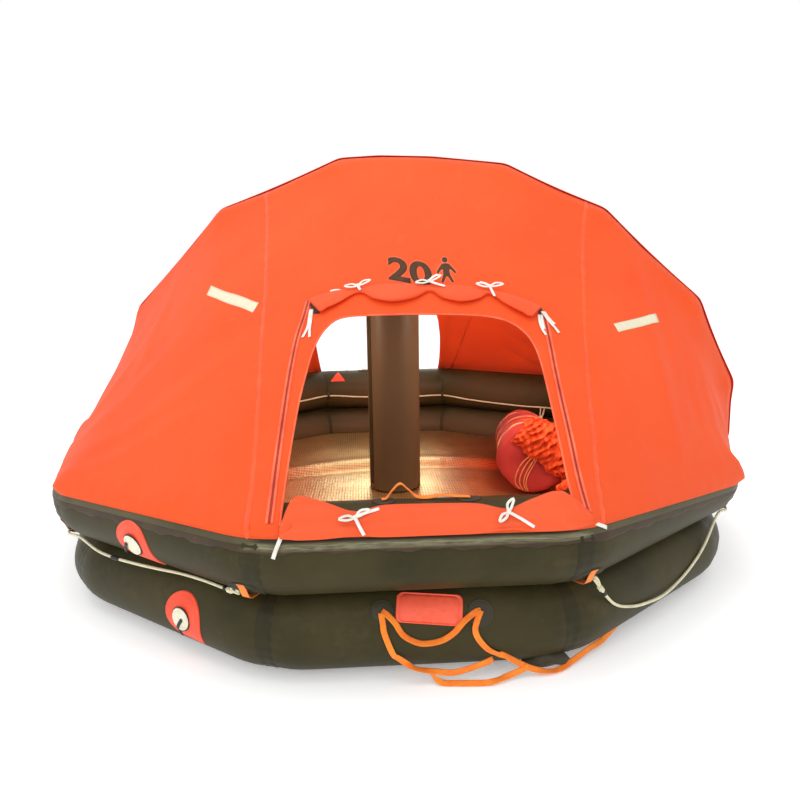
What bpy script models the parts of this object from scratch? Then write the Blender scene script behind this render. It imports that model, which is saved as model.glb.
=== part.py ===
# Inflatable life raft for twenty people, standing inflated on the ground.
# Two stacked ten-sided buoyancy tubes carry an inflated floor, one arch tube on a
# centre column, a canopy with two doorways, and the lines and gear fixed to them.
# Metres, +Z up. The front doorway faces -Y and the origin is on the ground at the centre.

import math

import bmesh
import bpy
from mathutils import Matrix, Vector
from mathutils.bvhtree import BVHTree

# Buoyancy tubes
SIDES = 10
HALF_SIDE = math.pi / SIDES
TUBE_RADIUS = 0.165
TUBE_FACETS = 20
UPPER_APOTHEM = 1.680
LOWER_APOTHEM = 1.630
GAP = 0.0003
LOWER_Z = TUBE_RADIUS
UPPER_Z = 3 * TUBE_RADIUS + GAP

# Floor and centre column
FLOOR_TOP = 0.165
FLOOR_BOTTOM = 0.055
FLOOR_UNDERCUT = 0.010
COLUMN_RADIUS = 0.160
COLUMN_CROWN = 0.090
COLUMN_FLAT = 0.35

# Arch tube, in its own upright plane: out from the middle, and up
ARCH_SIDE = 72
ARCH_RADIUS = 0.140
ARCH_FACETS = 12
ARCH_FOOT_Z = 0.580
ARCH_JOINTS = [
    # (out, up) of the tube's centre line at each mitred joint, foot first
    (1.700, ARCH_FOOT_Z),
    (1.700, 0.870),
    (1.545, 1.215),
    (1.070, 1.715),
    (0.520, 1.975),
]

# Canopy and doorways
CANOPY_THICKNESS = 0.010
SEAM_GAP = 0.0012
HEM_ANGLES = {18: 27, 54: 9, 90: 9, 126: 27, 162: 27}
RIGHT_SEAM_OUT = 1.00
LEFT_SEAM_OUT = -0.80
DOOR_CENTRE = 0.02
DOOR_BOTTOM = 0.645
DOOR_TOP = 1.275
DOOR_FOOT_HALF = 0.525
DOOR_HEAD_HALF = 0.470
DOOR_CORNER = 0.170
HEADER_Z = 1.206

# Rolled door flaps
ROLL_RADIUS = 0.032
TOP_ROLL = [
    # (sideways, up) along the roll over the doorway
    (-0.44, 1.355),
    (-0.25, 1.405),
    (0.02, 1.430),
    (0.29, 1.405),
    (0.48, 1.355),
]
ROLL_CLEAR = 0.0028
SILL_ROLL_RADIUS = 0.026
SILL_ROLL_HALF = 0.480
SILL_ROLL_Z = 0.630
SILL_ROLL_CLEAR = 0.0006

# Gear on the tubes
PATCH_THICKNESS = 0.004
SIGN = {"centre": 0.010, "width": 0.245, "low": 20, "high": 58}
VALVES = {
    # tube: place along the side, and angle round the tube
    "upper": {"apothem": UPPER_APOTHEM, "z": UPPER_Z, "along": -0.025, "round": -18},
    "lower": {"apothem": LOWER_APOTHEM, "z": LOWER_Z, "along": 0.174, "round": 0},
}
VALVE_SIDE = -36
VALVE_RADIUS = 0.043
VALVE_HEIGHT = 0.014

# Lines
ROPE_RADIUS = 0.006
GRAB_ROUND = -54
GRAB_SAG = 0.075
TAB_FROM_CORNER = 0.085
TAB_WIDTH = 0.060
INNER_LINE_Z = 0.470

# Ladder and grip webbing
LADDER_HALF = 0.170
STRAP_RADIUS = 0.009
LADDER_LOW = [
    # (inwards from the strap, out from the tube's centre line, up) near the ground
    (0.03, 0.15, 0.0293),
    (0.07, 0.20, 0.0093),
]
GRIP_ROUTE = [
    # (sideways, up from the top of the tube) along the grip
    (-0.14, 0.000),
    (-0.10, 0.010),
    (-0.06, 0.035),
    (-0.02, 0.010),
    (0.04, 0.000),
    (0.16, 0.000),
]

# Equipment bag
BAG_RADIUS = 0.235
BAG_HALF = 0.350
BAG_EDGE = 0.040
BAG_END_SHARE = 0.85
BAG_SIDE = 72
BAG_PLACE = (0.968, 0.033)

# Water pockets, folded flat under the floor
POCKET_SIDES = (0, 108, 180, 288)
POCKET_OUT = 1.20
POCKET_WIDTH = 0.62
POCKET_DEPTH = 0.40
POCKET_EDGE = 0.012

# Gas cylinder on the rear right side
CYLINDER_SIDE = 144
CYLINDER_RADIUS = 0.085
CYLINDER_LENGTH = 0.560
CYLINDER_SHOULDER = 0.050
CYLINDER_END_RADIUS = 0.045
CYLINDER_CLEAR = 0.0005
HEAD_RADIUS = 0.022
HEAD_BASE = 0.010
HEAD_HEIGHT = 0.070

COLOURS = {
    # name: colour, roughness, metallic
    "tube_rubber": ((0.075, 0.068, 0.040), 0.60, 0.0),
    "canopy_fabric": ((1.000, 0.135, 0.040), 0.65, 0.0),
    "floor_foil": ((0.640, 0.520, 0.240), 0.35, 0.7),
    "webbing": ((0.960, 0.300, 0.020), 0.70, 0.0),
    "cord": ((0.780, 0.720, 0.480), 0.75, 0.0),
    "valve_plastic": ((0.780, 0.740, 0.600), 0.45, 0.0),
    "bag_fabric": ((0.420, 0.030, 0.020), 0.70, 0.0),
    "cylinder_steel": ((0.300, 0.300, 0.290), 0.40, 0.8),
    "pocket_fabric": ((0.030, 0.028, 0.020), 0.75, 0.0),
}

UP = Vector((0, 0, 1))


# Scene and object helpers


def clear_scene():
    for obj in list(bpy.data.objects):
        bpy.data.objects.remove(obj, do_unlink=True)


def new_collection(name):
    collection = bpy.data.collections.new(name)
    bpy.context.scene.collection.children.link(collection)
    return collection


def material(name):
    found = bpy.data.materials.get(name)
    if found:
        return found
    colour, roughness, metallic = COLOURS[name]
    made = bpy.data.materials.new(name)
    made.use_nodes = True
    shader = made.node_tree.nodes["Principled BSDF"]
    shader.inputs["Base Color"].default_value = (*colour, 1)
    shader.inputs["Roughness"].default_value = roughness
    shader.inputs["Metallic"].default_value = metallic
    return made


def add_mesh(name, bm, finish, collection):
    """A new object from the bmesh, with its normals facing out."""
    bmesh.ops.remove_doubles(bm, verts=bm.verts[:], dist=1e-5)
    bmesh.ops.recalc_face_normals(bm, faces=bm.faces[:])
    mesh = bpy.data.meshes.new(name)
    bm.to_mesh(mesh)
    bm.free()
    obj = bpy.data.objects.new(name, mesh)
    mesh.materials.append(material(finish))
    collection.objects.link(obj)
    return obj


def make_cutter(obj):
    obj.hide_render = True
    obj.display_type = "WIRE"
    return obj


def cut(obj, cutter):
    boolean = obj.modifiers.new("cut_by_" + cutter.name, "BOOLEAN")
    boolean.operation = "DIFFERENCE"
    boolean.object = cutter
    boolean.solver = "EXACT"


def half_turn_copy(obj, name, collection):
    """The same piece on the other side of the raft."""
    twin = obj.copy()
    twin.name = name
    twin.data = obj.data.copy()
    twin.matrix_world = Matrix.Rotation(math.pi, 4, "Z") @ obj.matrix_world
    collection.objects.link(twin)
    return twin


def as_mesh(curve_object, collection):
    """The curve's evaluated mesh as a new object under the same name, its caps welded on."""
    bpy.context.view_layer.update()
    evaluated = curve_object.evaluated_get(bpy.context.evaluated_depsgraph_get())
    mesh = bpy.data.meshes.new_from_object(evaluated)
    placed = curve_object.matrix_world.copy()
    name = curve_object.name
    bpy.data.objects.remove(curve_object, do_unlink=True)
    bm = bmesh.new()
    bm.from_mesh(mesh)
    bmesh.ops.remove_doubles(bm, verts=bm.verts[:], dist=1e-5)
    bmesh.ops.recalc_face_normals(bm, faces=bm.faces[:])
    bm.to_mesh(mesh)
    bm.free()
    obj = bpy.data.objects.new(name, mesh)
    obj.matrix_world = placed
    collection.objects.link(obj)
    return obj


def add_tube(name, points, radius, finish, collection, resolution=2, cyclic=False):
    """A round tube along straight runs between the points."""
    curve = bpy.data.curves.new(name, "CURVE")
    curve.dimensions = "3D"
    curve.bevel_depth = radius
    curve.bevel_resolution = resolution
    curve.use_fill_caps = not cyclic
    spline = curve.splines.new("POLY")
    spline.points.add(len(points) - 1)
    for slot, point in zip(spline.points, points):
        slot.co = (*point, 1)
    spline.use_cyclic_u = cyclic
    curve.materials.append(material(finish))
    obj = bpy.data.objects.new(name, curve)
    collection.objects.link(obj)
    return obj


# Places on the ten-sided tubes


def side_directions(side):
    """Outwards and along (towards greater angles) of the side whose middle is at this angle."""
    turn = math.radians(side)
    out = Vector((math.sin(turn), -math.cos(turn), 0))
    along = Vector((math.cos(turn), math.sin(turn), 0))
    return out, along


def corner_point(corner, out, z):
    """A point over the corner at this angle, on lines this far out from the sides' middles."""
    return side_directions(corner)[0] * (out / math.cos(HALF_SIDE)) + UP * z


def facet_radius(angle, clear):
    """How far the faceted tube's surface, plus a clearance, lies from its centre line."""
    step = 360 / TUBE_FACETS
    off = angle - step * round(angle / step)
    return (TUBE_RADIUS + clear) / math.cos(math.radians(off))


def on_tube(side, along, angle, apothem, z, clear):
    """A point outside a tube: along its side, round its section, and clear of its surface."""
    out, forward = side_directions(side)
    radius = facet_radius(angle, clear)
    turn = math.radians(angle)
    reach = apothem + radius * math.cos(turn)
    return out * reach + forward * along + UP * (z + radius * math.sin(turn))


def facet_angles(low, high):
    """The section's corner angles between two angles, with both ends."""
    step = 360 / TUBE_FACETS
    first = math.ceil((low - step / 2) / step)
    corners = [step * (k + 0.5) for k in range(first, first + TUBE_FACETS)]
    return [low] + [a for a in corners if low < a < high] + [high]


def sweep_sides(name, profile, closed, finish, collection):
    """The profile of (out from the middle, up) points swept round the ten sides."""
    bm = bmesh.new()
    ring = [bm.verts.new(corner_point(18, out, z)) for out, z in profile]
    edges = [bm.edges.new(pair) for pair in zip(ring, ring[1:])]
    if closed:
        edges.append(bm.edges.new((ring[-1], ring[0])))
    bmesh.ops.spin(
        bm, geom=ring + edges, cent=(0, 0, 0), axis=(0, 0, 1), angle=2 * math.pi, steps=SIDES
    )
    return add_mesh(name, bm, finish, collection)


def tube_section(apothem, z, clear=0.0):
    step = 2 * math.pi / TUBE_FACETS
    radius = (TUBE_RADIUS + clear) / math.cos(step / 2)
    angles = [step * (k + 0.5) for k in range(TUBE_FACETS)]
    return [(apothem + radius * math.cos(a), z + radius * math.sin(a)) for a in angles]


# Buoyancy tubes, floor and column


def build_tubes(parts):
    sweep_sides("lower_tube", tube_section(LOWER_APOTHEM, LOWER_Z), True, "tube_rubber", parts)
    sweep_sides("upper_tube", tube_section(UPPER_APOTHEM, UPPER_Z), True, "tube_rubber", parts)


def build_floor(parts):
    """A flat air mattress whose edge follows the lower tube's inner face."""
    edge = []
    for angle in (180, 189, 207, 216):
        turn = math.radians(angle)
        radius = facet_radius(angle, GAP)
        edge.append((LOWER_APOTHEM + radius * math.cos(turn), LOWER_Z + radius * math.sin(turn)))
    under = edge[-1][0] - FLOOR_UNDERCUT
    profile = [(0, FLOOR_TOP)] + edge + [(under, FLOOR_BOTTOM), (0, FLOOR_BOTTOM)]
    sweep_sides("floor", profile, False, "floor_foil", parts)


def build_column(parts):
    """An upright tube with a crowned head under the arch."""
    top = ARCH_JOINTS[-1][1] - ARCH_RADIUS - GAP
    bottom = FLOOR_TOP + GAP
    profile = [(0, top)]
    for step in range(6):
        turn = math.radians(90 - 18 * step)
        reach = COLUMN_FLAT + (1 - COLUMN_FLAT) * math.cos(turn)
        profile.append((COLUMN_RADIUS * reach, top - COLUMN_CROWN * (1 - math.sin(turn))))
    profile += [(COLUMN_RADIUS, bottom), (0, bottom)]
    mesh = bpy.data.meshes.new("centre_column")
    edges = [(i, i + 1) for i in range(len(profile) - 1)]
    mesh.from_pydata([(x, 0, z) for x, z in profile], edges, [])
    mesh.materials.append(material("tube_rubber"))
    obj = bpy.data.objects.new("centre_column", mesh)
    parts.objects.link(obj)
    screw = obj.modifiers.new("turned", "SCREW")
    screw.steps = 20
    screw.render_steps = 20
    screw.use_merge_vertices = True
    screw.merge_threshold = 1e-5
    screw.use_smooth_shade = False


# Arch tube


def arch_point(out, z, side_step=0.0):
    """A point in the arch's upright plane, or a step in front of it."""
    forward = side_directions(ARCH_SIDE)[0]
    across = side_directions(ARCH_SIDE)[1] * -1
    return forward * out + across * side_step + UP * z


def arch_line():
    """The arch's joints in order, from the right foot over the top to the left foot."""
    right = list(ARCH_JOINTS)
    return right + [(-out, z) for out, z in reversed(right)]


def build_arch(parts, cutters):
    points = [arch_point(out, z) for out, z in arch_line()]
    arch = as_mesh(add_tube("arch_tube", points, ARCH_RADIUS, "tube_rubber", parts, 4), parts)
    clearance = tube_section(UPPER_APOTHEM, UPPER_Z, GAP)
    seat = make_cutter(sweep_sides("arch_seat_cutter", clearance, True, "tube_rubber", cutters))
    cut(arch, seat)


# Canopy


def arch_skin_points():
    """Points round the arch tube where the canopy's inner face passes over it."""
    step = 2 * math.pi / ARCH_FACETS
    radius = (ARCH_RADIUS + GAP) / math.cos(step / 2)
    line = arch_line()
    points = []
    for i, (out, z) in enumerate(line):
        here = Vector((out, z))
        before = (here - Vector(line[i - 1])).normalized() if i else UP.yz
        after = (Vector(line[i + 1]) - here).normalized() if i + 1 < len(line) else -UP.yz
        mean = (before + after).normalized()
        outward = Vector((-mean.y, mean.x)) * -1
        stretch = 1 / math.cos(before.angle(after) / 2)
        for k in range(-3, 3):
            turn = step * (k + 0.5)
            place = here + outward * (radius * math.cos(turn) * stretch)
            points.append(arch_point(place.x, place.y, radius * math.sin(turn)))
    return points


def hem_points():
    """Points on the upper tube where the canopy's inner face rests, at each corner."""
    points = []
    for corner, lowest in HEM_ANGLES.items():
        for angle in facet_angles(lowest, 81):
            turn = math.radians(angle)
            radius = facet_radius(angle, GAP)
            out = UPPER_APOTHEM + radius * math.cos(turn)
            point = corner_point(corner, out, UPPER_Z + radius * math.sin(turn))
            points.append(point)
            points.append(Vector((-point.x, -point.y, point.z)))
    return points


def canopy_surface():
    """The taut skin over the arch and the tubes, open underneath."""
    bm = bmesh.new()
    for point in arch_skin_points() + hem_points():
        bm.verts.new(point)
    hull = bmesh.ops.convex_hull(bm, input=bm.verts[:])
    loose = [item for item in hull["geom_interior"] if isinstance(item, bmesh.types.BMVert)]
    bmesh.ops.delete(bm, geom=loose, context="VERTS")
    bmesh.ops.recalc_face_normals(bm, faces=bm.faces[:])
    under = [face for face in bm.faces if face.normal.z < -0.3]
    bmesh.ops.delete(bm, geom=under, context="FACES")
    return bm


def keep_side(bm, point, normal):
    """Cuts the surface by a plane and keeps what the normal points to, half a seam's gap off."""
    geometry = bm.verts[:] + bm.edges[:] + bm.faces[:]
    place = point + normal * (SEAM_GAP / 2)
    bmesh.ops.bisect_plane(bm, geom=geometry, plane_co=place, plane_no=normal, clear_inner=True)


def seam_plane(corner, out):
    """The upright plane of the seam from the tube's outer corner to a place on the arch."""
    foot = corner_point(corner, UPPER_APOTHEM + TUBE_RADIUS, 0)
    head = arch_point(out, 0)
    along = (head - foot).normalized()
    return foot, Vector((-along.y, along.x, 0))


def canopy_panel(name, planes, parts):
    bm = canopy_surface()
    for point, normal in planes:
        keep_side(bm, point, normal)
    bmesh.ops.dissolve_limit(bm, angle_limit=0.002, verts=bm.verts[:], edges=bm.edges[:])
    panel = add_mesh(name, bm, "canopy_fabric", parts)
    face_out(panel)
    wall = panel.modifiers.new("wall", "SOLIDIFY")
    wall.thickness = CANOPY_THICKNESS
    wall.offset = 1
    wall.use_even_offset = True
    return panel


def face_out(panel):
    """Turns an open dome panel's faces away from the raft's middle."""
    bm = bmesh.new()
    bm.from_mesh(panel.data)
    middle = Vector((0, 0, 0.5))
    leaning = sum((f.calc_center_median() - middle).dot(f.normal) * f.calc_area() for f in bm.faces)
    if leaning < 0:
        bmesh.ops.reverse_faces(bm, faces=bm.faces[:])
    bm.to_mesh(panel.data)
    bm.free()


def door_outline():
    """The doorway as (sideways, up) points, straight-sided with rounded top corners."""
    lean = (DOOR_FOOT_HALF - DOOR_HEAD_HALF) / (DOOR_TOP - DOOR_BOTTOM)
    right = [(DOOR_FOOT_HALF, DOOR_BOTTOM)]
    for step in range(6):
        turn = math.radians(18 * step)
        x = DOOR_HEAD_HALF - DOOR_CORNER * (1 - math.cos(turn))
        z = DOOR_TOP - DOOR_CORNER * (1 - math.sin(turn))
        right.append((x + lean * (DOOR_TOP - z), z))
    left = [(-x, z) for x, z in reversed(right)]
    return [(DOOR_CENTRE + x, z) for x, z in right + left]


def build_canopy(parts, cutters):
    ridge = Vector((0, 0, 0)), side_directions(ARCH_SIDE)[1] * -1
    right_point, right_normal = seam_plane(18, RIGHT_SEAM_OUT)
    left_point, left_normal = seam_plane(-18, LEFT_SEAM_OUT)
    if right_normal.x < 0:
        right_normal = -right_normal
    if left_normal.x > 0:
        left_normal = -left_normal
    right = canopy_panel("canopy_front_right", [ridge, (right_point, right_normal)], parts)
    left = canopy_panel("canopy_front_left", [ridge, (left_point, left_normal)], parts)
    middle = [ridge, (right_point, -right_normal), (left_point, -left_normal)]
    seam = UP * HEADER_Z
    header = canopy_panel("canopy_front_header", middle + [(seam, UP)], parts)
    doorway = canopy_panel("canopy_front_doorway", middle + [(seam, -UP)], parts)
    bm = bmesh.new()
    ring = [bm.verts.new((x, -2.2, z)) for x, z in door_outline()]
    face = bm.faces.new(ring)
    pushed = bmesh.ops.extrude_face_region(bm, geom=[face])
    moved = [item for item in pushed["geom"] if isinstance(item, bmesh.types.BMVert)]
    bmesh.ops.translate(bm, verts=moved, vec=(0, 1.7, 0))
    cutter = make_cutter(add_mesh("doorway_cutter", bm, "canopy_fabric", cutters))
    rear_cutter = make_cutter(half_turn_copy(cutter, "rear_doorway_cutter", cutters))
    half_turn_copy(right, "canopy_rear_left", parts)
    half_turn_copy(left, "canopy_rear_right", parts)
    for panel, name in ((header, "canopy_rear_header"), (doorway, "canopy_rear_doorway")):
        rear = half_turn_copy(panel, name, parts)
        cut(panel, cutter)
        cut(rear, rear_cutter)
    return header, doorway


# Rolled door flaps


def surface_from_front(obj):
    """Looks along +Y at the piece and gives the first point and normal it meets."""
    bpy.context.view_layer.update()
    tree = BVHTree.FromObject(obj, bpy.context.evaluated_depsgraph_get())

    def place(x, z, clear):
        point, normal, _, _ = tree.ray_cast(Vector((x, -3, z)), Vector((0, 1, 0)))
        return point + normal * clear

    return place


def build_flap_rolls(header, doorway, parts):
    skin = surface_from_front(header)
    points = []
    for (x0, z0), (x1, z1) in zip(TOP_ROLL, TOP_ROLL[1:]):
        for step in range(3):
            share = step / 3
            points.append((x0 + (x1 - x0) * share, z0 + (z1 - z0) * share))
    points.append(TOP_ROLL[-1])
    lay = [skin(x, z, ROLL_RADIUS + ROLL_CLEAR) for x, z in points]
    roll = add_tube("front_top_flap_roll", lay, ROLL_RADIUS, "canopy_fabric", parts)
    half_turn_copy(roll, "rear_top_flap_roll", parts)
    skin = surface_from_front(doorway)
    sill = []
    for step in range(7):
        x = DOOR_CENTRE + SILL_ROLL_HALF * (step / 3 - 1)
        sill.append(skin(x, SILL_ROLL_Z, SILL_ROLL_RADIUS + SILL_ROLL_CLEAR))
    roll = add_tube("front_sill_roll", sill, SILL_ROLL_RADIUS, "canopy_fabric", parts)
    half_turn_copy(roll, "rear_sill_roll", parts)


# Patches, valves and the sign


def bent_plate(name, side, centre, width, low, high, apothem, z, finish, parts):
    """A plate that lies round a tube's section, this wide along the side."""
    angles = facet_angles(low, high)
    inner = [on_tube(side, centre - width / 2, a, apothem, z, GAP) for a in angles]
    clear = GAP + PATCH_THICKNESS
    outer = [on_tube(side, centre - width / 2, a, apothem, z, clear) for a in reversed(angles)]
    bm = bmesh.new()
    face = bm.faces.new([bm.verts.new(p) for p in inner + outer])
    pushed = bmesh.ops.extrude_face_region(bm, geom=[face])
    moved = [item for item in pushed["geom"] if isinstance(item, bmesh.types.BMVert)]
    bmesh.ops.translate(bm, verts=moved, vec=side_directions(side)[1] * width)
    return add_mesh(name, bm, finish, parts)


def build_signs(parts):
    plate = bent_plate(
        "front_boarding_sign", 0, SIGN["centre"], SIGN["width"], SIGN["low"], SIGN["high"],
        LOWER_APOTHEM, LOWER_Z, "webbing", parts,
    )
    half_turn_copy(plate, "rear_boarding_sign", parts)


def build_valve(tube, parts):
    """A round valve body on a flat facet, with the facet's own tilt."""
    spec = VALVES[tube]
    out, along = side_directions(VALVE_SIDE)
    turn = math.radians(spec["round"])
    normal = out * math.cos(turn) + UP * math.sin(turn)
    place = on_tube(VALVE_SIDE, spec["along"], spec["round"], spec["apothem"], spec["z"], GAP)
    bm = bmesh.new()
    turned = Matrix((along, normal.cross(along), normal)).transposed().to_4x4()
    bmesh.ops.create_cone(
        bm, cap_ends=True, segments=24, radius1=VALVE_RADIUS, radius2=VALVE_RADIUS * 0.9,
        depth=VALVE_HEIGHT, matrix=Matrix.Translation((0, 0, VALVE_HEIGHT / 2)),
    )
    bm.transform(Matrix.Translation(place) @ turned)
    add_mesh(tube + "_tube_valve", bm, "valve_plastic", parts)


# Lines


def grab_route(mirror):
    """The outer line from tab to tab along four sides, hanging a little between them."""
    clear = GAP + PATCH_THICKNESS + GAP + ROPE_RADIUS
    turn = math.radians(GRAB_ROUND)
    out = UPPER_APOTHEM + (TUBE_RADIUS + clear) * math.cos(turn)
    z = UPPER_Z + (TUBE_RADIUS + clear) * math.sin(turn)
    half = out * math.tan(HALF_SIDE)
    held = half - TAB_FROM_CORNER
    points = []
    for side in (36, 72, 108, 144):
        normal, along = side_directions(side)
        for step in range(-4, 5):
            share = step / 4
            drop = GRAB_SAG * (1 - share * share)
            points.append(normal * out + along * (held * share) + UP * (z - drop))
        if side != 144:
            points.append(corner_point(side + 18, out, z))
    return [Vector((mirror * p.x, p.y, p.z)) for p in points]


def build_grab_lines(parts):
    for name, mirror in (("right", 1), ("left", -1)):
        add_tube("grab_line_" + name, grab_route(mirror), ROPE_RADIUS, "cord", parts)
        half = (UPPER_APOTHEM + TUBE_RADIUS) * math.tan(HALF_SIDE)
        place = half - TAB_FROM_CORNER
        tabs = [(36, -place), (72, -place), (108, -place), (144, -place), (144, place)]
        for number, (side, along) in enumerate(tabs, 1):
            bent_plate(
                f"grab_tab_{name}_{number}", mirror * side, mirror * along, TAB_WIDTH, -72, -36,
                UPPER_APOTHEM, UPPER_Z, "webbing", parts,
            )


def build_inner_line(parts):
    out = UPPER_APOTHEM - TUBE_RADIUS - 2 * GAP - ROPE_RADIUS
    points = [corner_point(18 + 36 * k, out, INNER_LINE_Z) for k in range(SIDES)]
    add_tube("inner_grab_line", points, ROPE_RADIUS, "cord", parts, cyclic=True)


# Webbing


def build_ladders(parts):
    """A loop of webbing from one side of the sign down to the ground and up again."""
    clear = GAP + STRAP_RADIUS
    round_tube = reversed(facet_angles(-27, 40))
    half = [on_tube(0, -LADDER_HALF, a, LOWER_APOTHEM, LOWER_Z, clear) for a in round_tube]
    for inwards, out, up in LADDER_LOW:
        half.append(Vector((inwards - LADDER_HALF, -LOWER_APOTHEM - out, up)))
    points = half + [Vector((-p.x, p.y, p.z)) for p in reversed(half)]
    ladder = add_tube("front_boarding_ladder", points, STRAP_RADIUS, "webbing", parts)
    half_turn_copy(ladder, "rear_boarding_ladder", parts)


def build_door_handles(parts):
    """A webbing grip across the top of the upper tube, inside each doorway."""
    clear = GAP + STRAP_RADIUS
    points = []
    for x, rise in GRIP_ROUTE:
        points.append(on_tube(0, x, 90, UPPER_APOTHEM, UPPER_Z, clear) + UP * rise)
    grip = add_tube("front_doorway_grip", points, STRAP_RADIUS, "webbing", parts)
    half_turn_copy(grip, "rear_doorway_grip", parts)


# Loose gear, water pockets and the gas cylinder


def turned_body(name, profile, finish, collection, steps=20):
    """A solid turned about +Z from (radius, height) points, top to bottom."""
    bm = bmesh.new()
    chain = [bm.verts.new((x, 0, z)) for x, z in profile]
    edges = [bm.edges.new(pair) for pair in zip(chain, chain[1:])]
    bmesh.ops.spin(
        bm, geom=chain + edges, cent=(0, 0, 0), axis=(0, 0, 1), angle=2 * math.pi, steps=steps
    )
    return add_mesh(name, bm, finish, collection)


def build_bag(parts):
    """The equipment bag, a fat roll lying on the floor along the right-hand wall."""
    end = BAG_RADIUS * BAG_END_SHARE
    shoulder = BAG_HALF - BAG_EDGE
    profile = [(0, BAG_HALF), (end, BAG_HALF), (BAG_RADIUS, shoulder)]
    profile += [(BAG_RADIUS, -shoulder), (end, -BAG_HALF), (0, -BAG_HALF)]
    bag = turned_body("equipment_bag", profile, "bag_fabric", parts, 16)
    along = side_directions(BAG_SIDE)[1]
    facing = along.to_track_quat("Z", "Y").to_matrix().to_4x4()
    centre = Vector((*BAG_PLACE, FLOOR_TOP + BAG_RADIUS + GAP))
    bag.matrix_world = Matrix.Translation(centre) @ facing


def build_water_pockets(parts):
    """Ballast pockets folded flat between the floor and the ground."""
    height = FLOOR_BOTTOM - GAP
    for number, side in enumerate(POCKET_SIDES, 1):
        bm = bmesh.new()
        bmesh.ops.create_cube(bm, size=1)
        bmesh.ops.scale(bm, vec=(POCKET_WIDTH, POCKET_DEPTH, height), verts=bm.verts[:])
        bmesh.ops.translate(bm, vec=(0, -POCKET_OUT, height / 2), verts=bm.verts[:])
        bmesh.ops.rotate(bm, matrix=Matrix.Rotation(math.radians(side), 3, "Z"), verts=bm.verts[:])
        pocket = add_mesh(f"water_pocket_{number}", bm, "pocket_fabric", parts)
        edge = pocket.modifiers.new("soft_edge", "BEVEL")
        edge.width = POCKET_EDGE
        edge.segments = 2


def build_cylinder(parts):
    """The gas cylinder lying against the lower tube, with its valve head."""
    half = CYLINDER_LENGTH / 2
    shoulder = half - CYLINDER_SHOULDER
    profile = [
        (0, half + HEAD_HEIGHT),
        (HEAD_RADIUS, half + HEAD_HEIGHT),
        (HEAD_RADIUS, half + HEAD_BASE),
        (CYLINDER_END_RADIUS, half),
        (CYLINDER_RADIUS, shoulder),
        (CYLINDER_RADIUS, -shoulder),
        (CYLINDER_END_RADIUS, -half),
        (0, -half),
    ]
    cylinder = turned_body("gas_cylinder", profile, "cylinder_steel", parts)
    out, along = side_directions(CYLINDER_SIDE)
    apart = TUBE_RADIUS + CYLINDER_RADIUS + CYLINDER_CLEAR
    reach = LOWER_APOTHEM + math.sqrt(apart ** 2 - (LOWER_Z - CYLINDER_RADIUS) ** 2)
    facing = along.to_track_quat("Z", "Y").to_matrix().to_4x4()
    cylinder.matrix_world = Matrix.Translation(out * reach + UP * CYLINDER_RADIUS) @ facing


def build():
    clear_scene()
    parts = new_collection("life_raft")
    cutters = new_collection("cutters")
    build_tubes(parts)
    build_floor(parts)
    build_column(parts)
    build_arch(parts, cutters)
    header, doorway = build_canopy(parts, cutters)
    build_flap_rolls(header, doorway, parts)
    build_signs(parts)
    for tube in VALVES:
        build_valve(tube, parts)
    build_grab_lines(parts)
    build_inner_line(parts)
    build_ladders(parts)
    build_door_handles(parts)
    build_bag(parts)
    build_water_pockets(parts)
    build_cylinder(parts)


build()
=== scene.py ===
import math

import bmesh
import bpy
import numpy as np
from mathutils import Matrix, Vector
from mathutils.bvhtree import BVHTree


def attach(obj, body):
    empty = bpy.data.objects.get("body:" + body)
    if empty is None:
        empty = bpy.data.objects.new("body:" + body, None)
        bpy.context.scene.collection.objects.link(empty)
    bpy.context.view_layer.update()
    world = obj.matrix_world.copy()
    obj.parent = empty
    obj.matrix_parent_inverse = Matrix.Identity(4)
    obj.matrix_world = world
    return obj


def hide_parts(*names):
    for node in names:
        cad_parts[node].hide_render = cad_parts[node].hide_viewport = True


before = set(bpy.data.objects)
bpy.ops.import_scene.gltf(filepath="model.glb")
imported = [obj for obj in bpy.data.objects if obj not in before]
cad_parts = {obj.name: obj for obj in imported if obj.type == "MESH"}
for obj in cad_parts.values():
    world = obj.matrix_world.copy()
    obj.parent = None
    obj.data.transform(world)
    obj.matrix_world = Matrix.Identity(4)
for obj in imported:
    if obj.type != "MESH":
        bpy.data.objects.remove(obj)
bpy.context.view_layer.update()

# Camera
# It stands in front of the doorway at a person's chest height, a little to the left, and looks
# slightly down, with a wide lens.
eye_place = Vector((-0.180, -3.880, 1.459))
eye_yaw, eye_pitch, eye_roll = (math.radians(a) for a in (3.22, 10.92, -0.85))
eye_data = bpy.data.cameras.new("camera")
eye_data.sensor_width = 36.0
eye_data.lens = 28.71
eye = bpy.data.objects.new("camera", eye_data)
bpy.context.scene.collection.objects.link(eye)
eye_forward = Vector((
    math.sin(eye_yaw) * math.cos(eye_pitch),
    math.cos(eye_yaw) * math.cos(eye_pitch),
    -math.sin(eye_pitch),
))
eye_right = Vector((math.cos(eye_yaw), -math.sin(eye_yaw), 0))
eye_up = eye_right.cross(eye_forward)
eye_turn = Matrix.Rotation(-eye_roll, 3, eye_forward)
eye_axes = Matrix((eye_turn @ eye_right, eye_turn @ eye_up, -eye_forward)).transposed()
eye.matrix_world = Matrix.Translation(eye_place) @ eye_axes.to_4x4()
bpy.context.scene.camera = eye


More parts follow.
